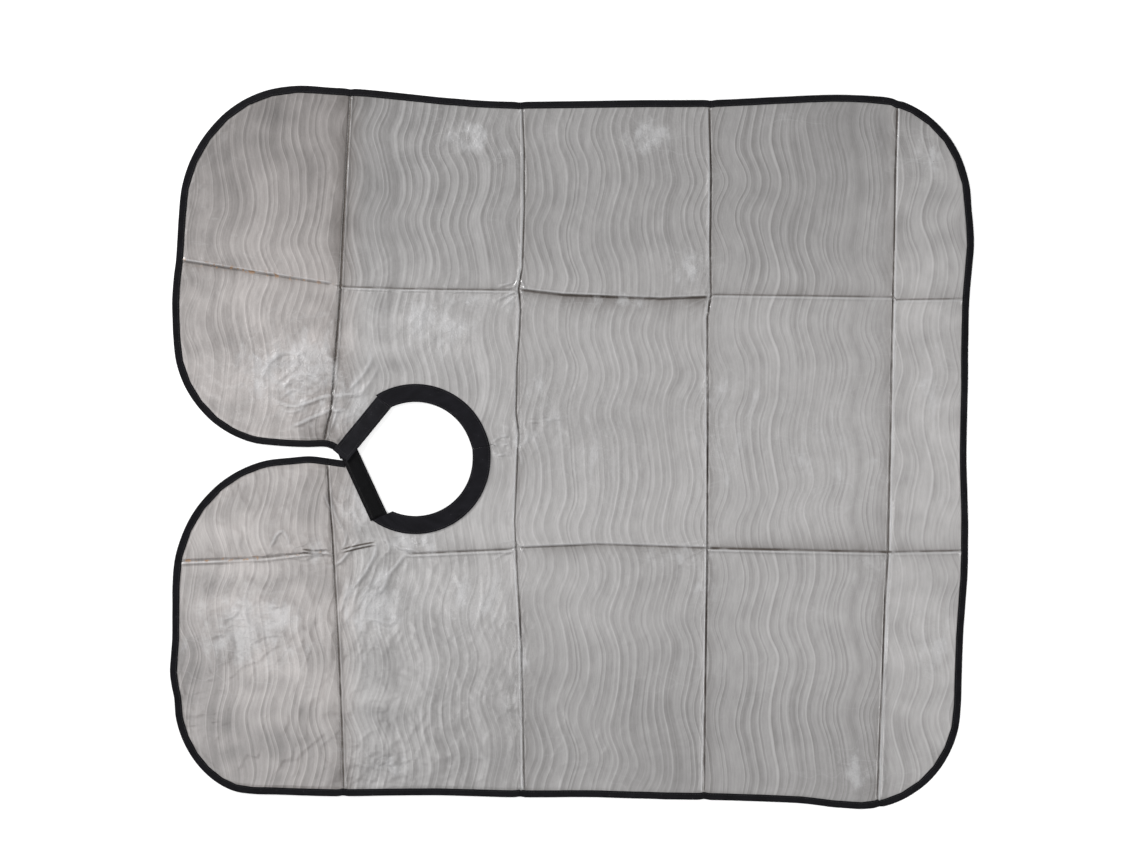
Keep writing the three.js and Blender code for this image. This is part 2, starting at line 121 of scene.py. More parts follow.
def lattice(x: Array, y: Array, cell: float, seed: int, stretch: float = 1.0) -> Array:
    """Smooth random hills.

    Args:
        x: Places along the width.
        y: Places along the length.
        cell: Distance between neighbouring hills.
        seed: Which pattern.
        stretch: How much longer the hills are along the length than across.

    Returns:
        Values from -1 to 1, most of them near 0.
    """
    size, away = 512, 200.0
    table = np.random.default_rng(seed).uniform(-1.0, 1.0, (size, size))
    u, v = x / cell + away, y / (cell * stretch) + away
    i, j = np.floor(u).astype(int), np.floor(v).astype(int)
    fu, fv = u - i, v - j
    fu, fv = fu * fu * (3 - 2 * fu), fv * fv * (3 - 2 * fv)
    i, j = i % size, j % size
    i1, j1 = (i + 1) % size, (j + 1) % size
    low = table[i, j] * (1 - fu) + table[i1, j] * fu
    high = table[i, j1] * (1 - fu) + table[i1, j1] * fu
    return low * (1 - fv) + high * fv


def turned(x: Array, y: Array, degrees: float) -> tuple[Array, Array]:
    """Places measured along and across a heading."""
    c, s = math.cos(math.radians(degrees)), math.sin(math.radians(degrees))
    return x * c + y * s, -x * s + y * c


def ripple(run: Array, cell: float, seed: int) -> Array:
    """Smooth random hills along one line."""
    return lattice(run, run * 0, cell, seed)


def off_segment(x: Array, y: Array, a: Array, b: Array) -> tuple[Array, Array]:
    """Distance from each place to the segment a-b, and the share of the way along it."""
    d = b - a
    t = np.clip(((x - a[0]) * d[0] + (y - a[1]) * d[1]) / max(d @ d, 1e-18), 0.0, 1.0)
    return np.hypot(x - a[0] - t * d[0], y - a[1] - t * d[1]), t


def off_path(x: Array, y: Array, path: Array, closed: bool = False) -> Array:
    """Distance from each place to a path of straight segments."""
    ends = np.roll(path, -1, axis=0) if closed else path[1:]
    best = np.full(np.shape(x), np.inf)
    for a, b in zip(path, ends):
        best = np.minimum(best, off_segment(x, y, a, b)[0])
    return best


def inside(x: Array, y: Array, starts: Array, ends: Array) -> Array:
    """Whether each place is inside the closed outline of those segments."""
    found = np.zeros(np.shape(x), bool)
    for (ax, ay), (bx, by) in zip(starts, ends):
        if ay != by:
            found ^= ((ay > y) != (by > y)) & (x < (bx - ax) * (y - ay) / (by - ay) + ax)
    return found


def lengths_along(path: Array) -> Array:
    """Distance along a path at each of its points."""
    return np.concatenate([[0.0], np.cumsum(np.linalg.norm(np.diff(path, axis=0), axis=1))])


def along_path(path: Array, run: Array, places: Array) -> Array:
    """The points (x, y) at distances along a path whose own distances are run."""
    return np.column_stack([np.interp(places, run, path[:, k]) for k in (0, 1)])


def rounded(path: Array, parts: int) -> Array:
    """A smooth curve through the points of a path, with equal shares between them."""
    points = np.vstack([2 * path[0] - path[1], path, 2 * path[-1] - path[-2]])
    share = np.arange(parts)[:, None] / parts
    pieces = []
    for p0, p1, p2, p3 in zip(points, points[1:], points[2:], points[3:]):
        k1, k2, k3 = (np.sqrt(np.linalg.norm(q - p)) for p, q in ((p0, p1), (p1, p2), (p2, p3)))
        m1 = (p2 - p1) + k2 * ((p1 - p0) / k1 - (p2 - p0) / (k1 + k2))
        m2 = (p2 - p1) + k2 * ((p3 - p2) / k3 - (p3 - p1) / (k2 + k3))
        a = 2 * p1 - 2 * p2 + m1 + m2
        b = -3 * p1 + 3 * p2 - 2 * m1 - m2
        pieces.append(a * share**3 + b * share**2 + m1 * share + p1)
    return np.vstack([*pieces, path[-1:]])


def open_edges(faces: Iterable[Sequence[int]]) -> list[tuple[int, int]]:
    """The edges that only one face has, in that face's own direction."""
    found: dict[tuple[int, int], bool] = {}
    for face in faces:
        for a, b in zip(face, [*face[1:], face[0]]):
            if found.pop((b, a), None) is None:
                found[a, b] = True
    return list(found)


def face_loop(node: str) -> Array:
    """The outline of a CAD node's top face, counter-clockwise, as (x, y) points."""
    mesh = frame["nodes"][node].data
    co = np.array([v.co for v in mesh.vertices], float)
    level = co[:, 2].max() - 0.02 * MM
    seen: dict[tuple, int] = {}
    index = [seen.setdefault(tuple(p), len(seen)) for p in np.round(co, 5)]
    places = {i: co[k] for k, i in reversed(list(enumerate(index)))}
    tops = [list(p.vertices) for p in mesh.polygons if all(co[v][2] >= level for v in p.vertices)]
    after = dict(open_edges([index[v] for v in top] for top in tops))
    loops = []
    while after:
        at, ring = next(iter(after)), []
        while at in after:
            ring.append(at)
            at = after.pop(at)
        loops.append(ring)
    return np.array([places[i][:2] for i in max(loops, key=len)])


# ---------------------------------------------------------------- mesh helpers


class Side(Enum):
    """Which finish of a two-sided piece a face takes."""

    SHOW = 0
    UNDER = 1


def make_piece(
    name: str,
    vertices: Array,
    faces: Sequence[Sequence[int]],
    finishes: Sequence[bpy.types.Material],
    attributes: dict[str, Array],
    sides: Sequence[int] | None = None,
) -> bpy.types.Object:
    """Links a smooth-shaded mesh piece.

    Args:
        name: The piece's name.
        vertices: Its points, in metres.
        faces: Point numbers of each face.
        finishes: Materials in the order of Side.
        attributes: Named numbers or vectors on the points.
        sides: The Side value of each face, or None for all SHOW.

    Returns:
        The new object.
    """
    mesh = bpy.data.meshes.new(name)
    mesh.from_pydata(np.asarray(vertices).tolist(), [], [list(map(int, f)) for f in faces])
    mesh.polygons.foreach_set("use_smooth", np.ones(len(mesh.polygons), bool))
    for finish in finishes:
        mesh.materials.append(finish)
    if sides is not None:
        mesh.polygons.foreach_set("material_index", np.array(sides, np.int32))
    for key, values in attributes.items():
        kind, slot = ("FLOAT", "value") if np.ndim(values) == 1 else ("FLOAT_VECTOR", "vector")
        values = np.asarray(values, np.float32).ravel()
        mesh.attributes.new(key, kind, "POINT").data.foreach_set(slot, values)
    mesh.validate()
    mesh.update()
    piece = bpy.data.objects.new(name, mesh)
    bpy.context.scene.collection.objects.link(piece)
    return piece


def tube_rings(stations: int, around: int) -> Faces:
    """Faces of a swept closed section: rings of points in order, with both ends filled."""
    faces = []
    for a in range(0, (stations - 1) * around, around):
        b = a + around
        for j in range(around):
            k = (j + 1) % around
            faces.append([a + j, a + k, b + k, b + j])
    last = (stations - 1) * around
    return faces + [list(range(around))[::-1], list(range(last, last + around))]


def flipped(faces: Faces) -> Faces:
    """The same faces, turned over."""
    return [face[::-1] for face in faces]


@dataclass(frozen=True)
class Stitch:
    """The size of one stitch, and the distance from one to the next."""

    length: float = 2.9 * MM
    pitch: float = 3.5 * MM
    radius: float = 0.34 * MM
    flat: float = 0.75
    # of each ring: share of the length, of the radius, and lift
    rings = ((-0.5, 0.35, -0.55), (-0.36, 0.9, -0.1), (0.0, 1.0, 0.12), (0.36, 0.9, -0.1), (0.5, 0.35, -0.55))

    def bead(self) -> tuple[Array, Faces]:
        """A short thread that dips at both ends, along +X, centred."""
        turn = np.arange(6) * math.pi / 3
        points = [
            np.column_stack([
                np.full(6, along * self.length), self.radius * scale * np.cos(turn),
                self.radius * self.flat * (scale * np.sin(turn) + lift),
            ])
            for along, scale, lift in self.rings
        ]
        return np.vstack(points), tube_rings(len(self.rings), 6)


class Builder:
    """Collects points and faces of many small shapes into one mesh."""

    def __init__(self) -> None:
        """Starts empty."""
        self.points: list[Array] = []
        self.faces: Faces = []
        self.count = 0

    def add(self, points: Array, faces: Faces) -> None:
        """Adds one shape."""
        self.faces.extend([i + self.count for i in face] for face in faces)
        self.points.append(points)
        self.count += len(points)

    def sew(self, path: Array, heights: Array, stitch: Stitch, upside: float = 1.0) -> None:
        """Lays stitches end to end along a path.

        Args:
            path: Points (x, y) along the seam.
            heights: Height of the cloth's face under the thread, at each point or at all.
            stitch: The size of one stitch.
            upside: 1 for thread on top of the face, -1 for thread under it.
        """
        run = lengths_along(path)
        count = max(1, int(run[-1] / stitch.pitch))
        middles = (np.arange(count) + 0.5) * run[-1] / count
        half = stitch.length / 2
        centres = along_path(path, run, middles)
        lifts = np.interp(middles, run, np.broadcast_to(heights, len(path)))
        ahead = along_path(path, run, middles + half) - along_path(path, run, middles - half)
        ahead /= np.linalg.norm(ahead, axis=1)[:, None]
        bead, faces = stitch.bead()
        faces = faces if upside > 0 else flipped(faces)
        for (cx, cy), cz, (dx, dy) in zip(centres, lifts, ahead):
            self.add(np.column_stack([
                cx + bead[:, 0] * dx - bead[:, 1] * dy, cy + bead[:, 0] * dy + bead[:, 1] * dx,
                cz + upside * bead[:, 2],
            ]), faces)

    def piece(self, name: str, finish: bpy.types.Material) -> bpy.types.Object:
        """Makes the piece."""
        points = np.vstack(self.points)
        return make_piece(name, points, self.faces, [finish], {"tape_place": points})


# ---------------------------------------------------------------- finishes


class Value:
    """A shader node's output, which adds, takes away and multiplies like a number."""

    def __init__(self, graph: "Graph", socket: bpy.types.NodeSocket) -> None:
        """Wraps one output."""
        self.graph, self.socket = graph, socket

    def __add__(self, other: object) -> "Value":
        """Self plus other."""
        return self.graph.math("ADD", self, other)

    def __sub__(self, other: object) -> "Value":
        """Self minus other."""
        return self.graph.math("SUBTRACT", self, other)

    def __rsub__(self, other: float) -> "Value":
        """Other minus self."""
        return self.graph.math("SUBTRACT", other, self)

    def __mul__(self, other: object) -> "Value":
        """Self times other."""
        return self.graph.math("MULTIPLY", self, other)

    def sine(self) -> "Value":
        """Its sine."""
        return self.graph.math("SINE", self)

    def size(self) -> "Value":
        """Its distance from nought."""
        return self.graph.math("ABSOLUTE", self)

    def ease(self, low: float, high: float, out_low: float = 0.0, out_high: float = 1.0) -> "Value":
        """Maps low to high onto out_low to out_high, smoothly."""
        numbers = {"i0": self, "i1": low, "i2": high, "i3": out_low, "i4": out_high}
        return self.graph.made("ShaderNodeMapRange", {"interpolation_type": "SMOOTHSTEP"}, **numbers)


class Graph:
    """A material's shader nodes."""

    def __init__(self, name: str) -> None:
        """Makes a material with one Principled shader."""
        self.material = bpy.data.materials.new(name)
        self.material.use_nodes = True
        self.tree = self.material.node_tree
        self.shader = self.tree.nodes["Principled BSDF"]

    def node(self, kind: str, settings: dict | None = None, **inputs: object) -> bpy.types.Node:
        """Adds a node; inputs are numbers, colours or values, by socket name or as i and number."""
        made = self.tree.nodes.new(kind)
        for key, value in (settings or {}).items():
            setattr(made, key, value)
        for key, value in inputs.items():
            self.put(made.inputs[int(key[1:]) if key[1:].isdigit() else key], value)
        return made

    def made(self, kind: str, settings: dict | None = None, out: int = 0, **inputs: object) -> Value:
        """Adds a node and gives one of its outputs."""
        return Value(self, self.node(kind, settings, **inputs).outputs[out])

    def put(self, socket: bpy.types.NodeSocket, value: object) -> None:
        """Sets or joins one socket."""
        if isinstance(value, Value):
            self.tree.links.new(value.socket, socket)
        else:
            socket.default_value = value

    def math(self, operation: str, a: object, b: object = 0.0) -> Value:
        """One sum on numbers."""
        return self.made("ShaderNodeMath", {"operation": operation}, i0=a, i1=b)

    def split(self, place: Value) -> list[Value]:
        """The three numbers of a place."""
        return [Value(self, s) for s in self.node("ShaderNodeSeparateXYZ", None, Vector=place).outputs]

    def attribute(self, name: str, output: str = "Fac") -> Value:
        """Reads a named attribute of the mesh."""
        node = self.node("ShaderNodeAttribute", {"attribute_name": name})
        return Value(self, node.outputs[output])

    def stretched(self, place: Value, scale: tuple[float, float, float]) -> Value:
        """Scales a place."""
        return self.made("ShaderNodeVectorMath", {"operation": "MULTIPLY"}, i0=place, i1=scale)

    def noise(self, place: Value, scale: float, detail: float = 2.0, rough: float = 0.5) -> Value:
        """Smooth random values over a place."""
        numbers = {"Scale": scale, "Detail": detail, "Roughness": rough}
        return self.made("ShaderNodeTexNoise", None, Vector=place, **numbers)

    def line_noise(self, along: Value, scale: float, detail: float) -> Value:
        """Smooth random values over one number."""
        kind = {"noise_dimensions": "1D"}
        return self.made("ShaderNodeTexNoise", kind, W=along, Scale=scale, Detail=detail)

    def ramp(self, value: Value, stops: Sequence[tuple[float, float]]) -> Value:
        """A curve of grey values through the stops."""
        node = self.node("ShaderNodeValToRGB", None, i0=value)
        elements = node.color_ramp.elements
        while len(elements) < len(stops):
            elements.new(0.5)
        for element, (place, shade) in zip(elements, stops):
            element.position = place
            element.color = (shade, shade, shade, 1)
        return Value(self, node.outputs[0])

    def mix(self, share: object, a: object, b: object, blend: str = "MIX") -> Value:
        """Mixes two colours."""
        kind = {"data_type": "RGBA", "blend_type": blend}
        return self.made("ShaderNodeMix", kind, out=2, i0=share, i6=a, i7=b)

    def finish(self, colour: Value, roughness: object, height: Value, depth: float) -> bpy.types.Material:
        """Joins colour, roughness and fine relief to the shader."""
        bump = self.made("ShaderNodeBump", None, Height=height, Distance=depth, Strength=1.0)
        for name, value in (("Base Color", colour), ("Roughness", roughness), ("Normal", bump)):
            self.put(self.shader.inputs[name], value)
        return self.material

    def fixed(self, **values: float) -> None:
        """Sets the shader's own uniform numbers, by socket name with underscores."""
        for key, value in values.items():
            self.shader.inputs[key.replace("_", " ")].default_value = value


def shaded(colour: Colour, factor: float) -> Colour:
    """A colour made darker or paler."""
    return tuple(factor * c for c in colour[:3]) + (1.0,)


class Face(Enum):
    """The two faces of the cape's cloth."""

    COATED = "coated"
    WOVEN = "woven"


@dataclass(frozen=True)
class WavyCloth:
    """Grey polyester with tone-on-tone wavy stripes, coated on the side that shows."""

    face: Face
    dark: Colour = (0.215, 0.207, 0.204, 1.0)
    light: Colour = (0.452, 0.442, 0.441, 1.0)
    # colour of painted highlights and glints, and of the coating whitened on crests
    highlight_colour: Colour = (0.56, 0.56, 0.57, 1.0)
    warmth: Colour = (1.03, 0.985, 0.965, 1.0)
    # colour of the worn coating along the folds, also used for the painted shade and painted crease shadow
    dirt_and_shade: Colour = (0.058, 0.045, 0.037, 1.0)
    rust: Colour = (0.30, 0.17, 0.085, 1.0)
    wave_length: float = 134 * MM
    wave_reach: float = 6.8 * MM
    drift_reach: float = 14 * MM
    stripe_pitch: float = 13 * MM
    stripe_scale: float = 36.0
    stripe_turns: float = 3.2
    stripe: tuple = ((0.0, 1.0), (0.05, 0.85), (0.12, 0.16), (0.44, 0.20), (0.58, 0.50), (0.93, 0.60), (1.0, 1.0))
    # strength of thin painted glint lines on crinkles
    glint_line_strength: float = 0.16
    streaks: float = 620.0
    weave: float = 0.9 * MM

    def make(self) -> bpy.types.Material:
        """Builds the finish."""
        g = Graph(f"cloth_{self.face.value}")
        coated = self.face is Face.COATED
        place = g.attribute("rest_place", "Vector")
        x, y, _ = g.split(place)
        # read back: worn coating darkened with painted crease shadow, painted shade beside the folds, painted crest
        # highlights, painted glints, rust stains, and painted field sheen and shade
        wear, dull, pale, scuff, stain, bloom = map(
            g.attribute, ("fold_wear", "dull", "pale", "scuff", "stain", "bloom")
        )

        # the wave that all stripes follow, with a slow drift
        phase = y * (2 * math.pi / self.wave_length) + (g.noise(place, 5.5, 1.0) - 0.5) * 6.0
        wander = (g.noise(place, 9.0, 2.0) - 0.5) * self.drift_reach
        warped = x + (phase.sine() * self.wave_reach + wander)

        # stripes: each goes from a thin bright line through dark to mid grey
        level = g.line_noise(warped, self.stripe_scale, 1.5) * self.stripe_turns
        level = level + warped * (1.0 / self.stripe_pitch)
        band = g.ramp(g.math("FRACT", level), self.stripe)
        faint = g.noise(place, 7.0, 1.0).ease(0.30, 0.62, 0.5, 1.1) * (0.86 - bloom * 1.7)
        strands = g.made("ShaderNodeCombineXYZ", None, X=warped, Y=y * 0.03)
        streak = g.noise(strands, self.streaks, 2.0, 0.6)
        smudge = g.noise(g.stretched(place, (1.6, 0.5, 1.0)), 70.0, 3.0, 0.6)
        tone = ((band - 0.42) * faint + 0.42) * 0.66 + streak * 0.20
        tone = tone + (g.line_noise(warped, 260.0, 3.0) - 0.25) * 0.50
        tone = tone + (g.noise(place, 4.2, 3.0) - 0.5) * 0.42 + (smudge - 0.5) * 0.55
        colour = g.mix(tone, self.dark, self.light)
        # painted sheen and shade: each field between the creases is made lighter or darker
        colour = g.made("ShaderNodeVectorMath", {"operation": "SCALE"}, i0=colour, i3=bloom + 1.0)
        warmed = g.mix(1.0, colour, self.warmth, "MULTIPLY")
        colour = g.mix(x.ease(-0.33, -0.28, 1.0, 0.0), colour, warmed)

        # painted shade beside the folds, worn coating darkened by painted crease shadow along them, painted crest
        # highlights, rust stains, and the painted milky glints of crumpled patches
        worn_and_shaded = (wear + g.noise(place, 260.0, 2.0) * 0.16).ease(0.16, 1.10)
        colour = g.mix(dull * 0.74, colour, self.dirt_and_shade)
        colour = g.mix(pale * 0.8, colour, self.highlight_colour)
        colour = g.mix(worn_and_shaded, colour, self.dirt_and_shade)
        spots = stain * g.noise(place, 150.0, 1.0).ease(0.56, 0.66)
        colour = g.mix(spots, colour, self.rust)
        rough = tone.ease(0.2, 0.8, 0.47, 0.36)
        if coated:
            # painted glints: milky patches of painted reflection on the crumpled patches, and thin painted glint
            # lines on crinkles
            ragged = g.noise(g.stretched(place, (1.3, 0.5, 1.0)), 38.0, 5.0, 0.62)
            swirl = (g.noise(place, 22.0, 3.0, 0.6) - 0.5).size()
            painted_glint = (scuff * 0.75 + (ragged - 0.5) * 1.5).ease(0.30, 0.62)
            painted_glint = painted_glint * swirl.ease(0.0, 0.16, 1.0, 0.25)
            hair = (g.noise(place, 10.0, 2.0) - 0.5).size().ease(0.0, 0.010, 1.0, 0.0)
            bent = g.noise(g.stretched(place, (0.6, 1.5, 1.0)), 17.0, 2.0)
            second = (bent - 0.47).size().ease(0.0, 0.013, 1.0, 0.0)
            somewhere = g.noise(place, 8.0, 2.0).ease(0.45, 0.66, 0.06, 0.42) + scuff
            glint_lines = g.math("MAXIMUM", hair, second) * somewhere * self.glint_line_strength
            colour = g.mix(painted_glint * 0.46, colour, self.highlight_colour)
            colour = g.mix(glint_lines, colour, self.highlight_colour)
            rough = rough - painted_glint * 0.12
            g.fixed(Specular_IOR_Level=0.6, Coat_Weight=0.5, Coat_Roughness=0.18)
        else:
            rough = rough + 0.16
            g.fixed(Specular_IOR_Level=0.3, Sheen_Weight=0.18, Sheen_Roughness=0.4)

        # threads and the small unevenness of the coating
        thread = 2 * math.pi / self.weave
        relief = (x * thread).sine() * (y * thread).sine() * (0.10 if coated else 0.30)
        dimples = g.noise(g.stretched(place, (1.0, 0.55, 1.0)), 120.0, 3.0, 0.55)
        crackle = (g.noise(place, 75.0, 3.0, 0.6) - 0.5).size().ease(0.0, 0.09, 1.0, 0.0)
        relief = relief + streak * 0.5 + dimples * 2.0 + crackle * (scuff + 0.12) * 0.9
        return g.finish(colour, rough, relief, 0.35 * MM)


@dataclass(frozen=True)
class WovenTape:
    """Black tape with a diagonal or a straight rib, and a little lint."""

    name: str
    colour: Colour
    rib: float
    slope: float
    roughness: float
    sheen: float
    gloss: float
    relief: float = 0.09 * MM
    lint: float = 0.10
    lint_shade: Colour = (0.35, 0.35, 0.35, 1.0)

    def make(self) -> bpy.types.Material:
        """Builds the finish."""
        g = Graph(self.name)
        place = g.attribute("tape_place", "Vector")
        along, across, _ = g.split(place)
        step = 2 * math.pi / self.rib
        ribs = ((along + across * self.slope) * step).sine()
        cross = (across * (step * 1.6)).sine()
        cloudy = g.noise(place, 60.0, 3.0)
        shade = (ribs * 0.25 + cloudy * 1.2).ease(0.2, 1.0)
        colour = g.mix(shade, shaded(self.colour, 0.55), shaded(self.colour, 1.5))
        specks = g.made("ShaderNodeTexVoronoi", {"feature": "F1"}, Vector=place, Scale=260.0)
        speck = specks.ease(0.10, 0.16, 1.0, 0.0) * self.lint * g.noise(place, 120.0, 0.0).ease(0.62, 0.70)
        colour = g.mix(speck, colour, self.lint_shade)
        rough = cloudy.ease(0.3, 0.7, self.roughness - 0.06, self.roughness + 0.08)
        g.fixed(Specular_IOR_Level=self.gloss, Sheen_Weight=self.sheen, Sheen_Roughness=0.35)
        return g.finish(colour, rough, ribs * 0.6 + cross * 0.4 + cloudy * 1.5, self.relief)


@dataclass(frozen=True)
class SpunThread:
    """Twisted sewing thread or tape fibre."""

    name: str
    colour: Colour
    roughness: float = 0.55
    gloss: float = 0.25
    twist: float = 0.5 * MM

    def make(self) -> bpy.types.Material:
        """Builds the finish."""
        g = Graph(self.name)
        place = g.attribute("tape_place", "Vector")
        x, y, z = g.split(place)
        plies = ((x + (y + z)) * (2 * math.pi / self.twist)).sine()
        cloudy = g.noise(place, 180.0, 2.0)
        shade = (plies * 0.3 + cloudy).ease(0.2, 0.9)
        colour = g.mix(shade, shaded(self.colour, 0.6), shaded(self.colour, 1.5))
        rough = cloudy.ease(0.3, 0.7, self.roughness - 0.07, self.roughness + 0.07)
        g.fixed(Specular_IOR_Level=self.gloss, Sheen_Weight=0.1)
        return g.finish(colour, rough, plies, 0.05 * MM)


class Wardrobe:
    """Every finish of the cape, made once."""

    def __init__(self) -> None:
        """Makes them all. Of each tape: colour, rib, slope, roughness, sheen, gloss."""
        self.coated = WavyCloth(Face.COATED).make()
        self.woven = WavyCloth(Face.WOVEN).make()
        self.binding, self.band, self.hook_back, self.loop_base = (
            WovenTape(name, (*colour, 1), rib * MM, *numbers).make()
            for name, colour, rib, *numbers in (
                ("binding_twill", (0.0068, 0.0066, 0.0082), 0.7, 1.0, 0.55, 0.03, 0.06),
                ("neckband_twill", (0.0105, 0.0102, 0.0125), 1.1, 0.6, 0.8, 0.03, 0.06),
                ("hook_tape_weave", (0.0125, 0.0122, 0.0145), 0.9, 0.0, 0.66, 0.03, 0.06),
                ("loop_tape_weave", (0.0060, 0.0058, 0.0066), 0.9, 0.0, 0.8, 0.02, 0.04),
            )
        )
        self.pile = SpunThread("loop_pile_fibre", (0.0042, 0.0042, 0.0048, 1), 0.9, 0.05).make()
        self.hooks = SpunThread("hook_fibre", (0.010, 0.010, 0.011, 1), 0.4, 0.4).make()
        self.thread = SpunThread("sewing_thread", (0.0095, 0.0092, 0.011, 1)).make()


# ---------------------------------------------------------------- folds and heights


@dataclass(frozen=True)
class Fold:
    """A joint of the frame, as the line that a body folds about."""

    parent: str
    child: str
    pivot: Array
    axis: Array
    outward: float  # 1 where the child lies towards +X, -1 towards -X
    reach: float  # the bend takes this much of the child

    @classmethod
    def read(cls, name: str, outward: float, reach: float) -> "Fold":
        """Finds the joint in the frame."""
        joint = find_joint(name)
        axis = np.array(joint["axis"][:2])
        axis = axis if axis[1] > 0 else -axis
        return cls(joint["parent"], joint["child"], np.array(joint["pos_m"]), axis, outward, reach)

    def x_at(self, y: Array) -> Array:
        """The fold line's X at each Y."""
        return self.pivot[0] + (y - self.pivot[1]) * self.axis[0] / self.axis[1]

    def off(self, points: Array) -> Array:
        """Distance of each point from the fold line, positive on the child's side."""
        d = points - self.pivot[:2]
        return self.outward * (d[:, 0] * self.axis[1] - d[:, 1] * self.axis[0])

    def bend(self, piece: bpy.types.Object) -> None:
        """Bakes the piece's placement into its points."""
        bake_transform(piece)


def find_joint(name: str) -> dict:
    """The frame's joint of that name."""
    return next(joint for joint in frame["joints"] if joint["name"] == name)


FLAP_UPPER = Fold.read("upper_flap_fold", -1, 6.5 * MM)
FLAP_LOWER = Fold.read("lower_flap_fold", -1, 6.5 * MM)
MIDDLE = Fold.read("middle_fold", 1, 16 * MM)
RIGHT = Fold.read("right_fold", 1, 6.5 * MM)
END = Fold.read("end_fold", 1, 6 * MM)
FOLDS = {fold.child: fold for fold in (FLAP_UPPER, FLAP_LOWER, MIDDLE, RIGHT, END)}
SLIT_Y = float(sum(face_loop(f"binding_slit_end_{end}")[:, 1].mean() for end in ("upper", "lower")) / 2)


def dress(piece: bpy.types.Object, node: str, body: str = "collar") -> None:
    """Hides the node that a piece stands for, and makes the piece ride on its body, or bakes its placement where the
    body folds.
    """
    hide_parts(node)
    if body in FOLDS:
        FOLDS[body].bend(piece)
    else:
        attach(piece, body)
    LOG.info("%s", piece.name)


@dataclass(frozen=True)
class Crease:
    """One pressed fold line: a furrow with a ridge beside it on a soft rise. Sizes in mm."""

    line: Callable[[Array, Array], Array]  # signed distance from the line at (x, y), in metres
    where: Callable[[Array, Array], Array]  # how strongly it shows at (x, y)
    seed: int
    furrow: float = 1.1
    furrow_width: float = 1.5
    ridge: float = 1.3
    ridge_off: float = 3.2
    ridge_width: float = 2.3
    rise: float = 0.8
    rise_width: float = 14
    # wear: worn, darker coating along the fold, together with a painted crease shadow
    wear: float = 0.9
    wear_width: float = 1.3
    # the next three: painted shade falling away on each side of the crease, and how far it reaches, standing in for
    # light on the sloping cloth
    dull_before: float = 0.5
    dull_after: float = 0.1
    dull_reach: float = 9
    # painted highlight along the ridge's crest, partly the coating whitened there
    crest: float = 0.55

    def shape(self, x: Array, y: Array) -> tuple[Array, Array, Array, Array]:
        """Height in metres, worn coating with painted crease shadow, painted shade beside the crease, and painted
        crest highlight that the crease adds at each place.
        """
        d, here = self.line(x, y) / MM, self.where(x, y)

        def lively(cell: float, more: int) -> Array:
            """How the crease varies along its way."""
            return lattice(x, y, cell * MM, self.seed + more)

        full = 0.85 + 0.45 * lively(31, 0)
        height = self.ridge * bell(d - self.ridge_off, self.ridge_width) * full
        height += self.rise * np.exp(-np.abs(d) / self.rise_width) * (0.8 + 0.6 * lively(60, 1))
        height -= (self.furrow + self.rise) * bell(d, self.furrow_width)
        # worn coating along the fold line, made darker as a painted crease shadow
        wear = self.wear * bell(d, self.wear_width) * np.clip(0.85 + 0.35 * lively(14, 2), 0.5, 1.0)
        # painted shade on each side of the crease
        side = np.where(d < 0, self.dull_before, self.dull_after)
        dull = side * np.exp(-np.abs(d) / self.dull_reach) * (0.9 + 0.4 * lively(25, 3))
        # painted highlight on the crest, partly whitened coating
        crest = self.crest * bell(d - 0.8 * self.ridge_off, 0.55 * self.ridge_width) * full
        return height * here * MM, wear * here, dull * here, crest * here


@dataclass(frozen=True)
class Crumple:
    """A patch of small sharp wrinkles. Place as shares of the half sizes, the rest in mm."""

    x: float
    y: float
    reach_x: float
    reach_y: float
    height: float
    cell: float
    heading: float
    stretch: float
    # how strong the painted glints and the fine crackle relief on the patch are
    scuff: float
    seed: int

    def mask(self, x: Array, y: Array) -> Array:
        """How much of the patch lies at each place."""
        off_x = (x - self.x * HALF_WIDTH) / (self.reach_x * MM)
        off_y = (y - self.y * HALF_LENGTH) / (self.reach_y * MM)
        return np.exp(-(off_x**2) - off_y**2)

    def shape(self, x: Array, y: Array) -> Array:
        """Height in metres that the wrinkles add at each place."""
        along, across = turned(x, y, self.heading)
        cell = self.cell * MM
        wobble = 0.5 * cell * lattice(along, across, cell * 1.7, self.seed + 5)
        n = lattice(across + wobble, along, cell, self.seed, self.stretch)
        sharp = (1.0 - np.minimum(1.0, 2.4 * np.abs(n))) ** 1.5
        return self.height * MM * sharp * self.mask(x, y)


@dataclass(frozen=True)
class Wrinkle:
    """One raised fold along a short curve. Height, width and path in mm from an anchor in metres."""

    anchor: tuple[float, float]
    height: float
    width: float
    # how dark the painted shadow beside the fold is
    shade: float
    path: Sequence[tuple[float, float]]

    def shape(self, x: Array, y: Array) -> tuple[Array, Array]:
        """Height in metres, and the painted shadow beside the fold, at each place."""
        width = self.width * MM
        points = rounded(np.array(self.path) * MM + self.anchor, 5)
        low, high = points.min(0) - 6 * width, points.max(0) + 6 * width
        near = (x > low[0]) & (x < high[0]) & (y > low[1]) & (y < high[1])
        best, share = np.full(near.sum(), np.inf), np.zeros(near.sum())
        run = lengths_along(points)
        for k, (a, b) in enumerate(zip(points, points[1:])):
            d, t = off_segment(x[near], y[near], a, b)
            closer = d < best
            best[closer] = d[closer]
            share[closer] = ((run[k] + t * (run[k + 1] - run[k])) / run[-1])[closer]
        taper = np.clip(np.minimum(share, 1 - share) * 5, 0, 1) ** 0.7
        height, wear = np.zeros_like(x), np.zeros_like(x)
        height[near] = 1.5 * self.height * MM * np.exp(-best / (0.62 * width)) * taper
        # painted shadow along one side of the raised fold
        wear[near] = self.shade * bell(best - 1.3 * width, width * 0.7) * taper
        return height, wear


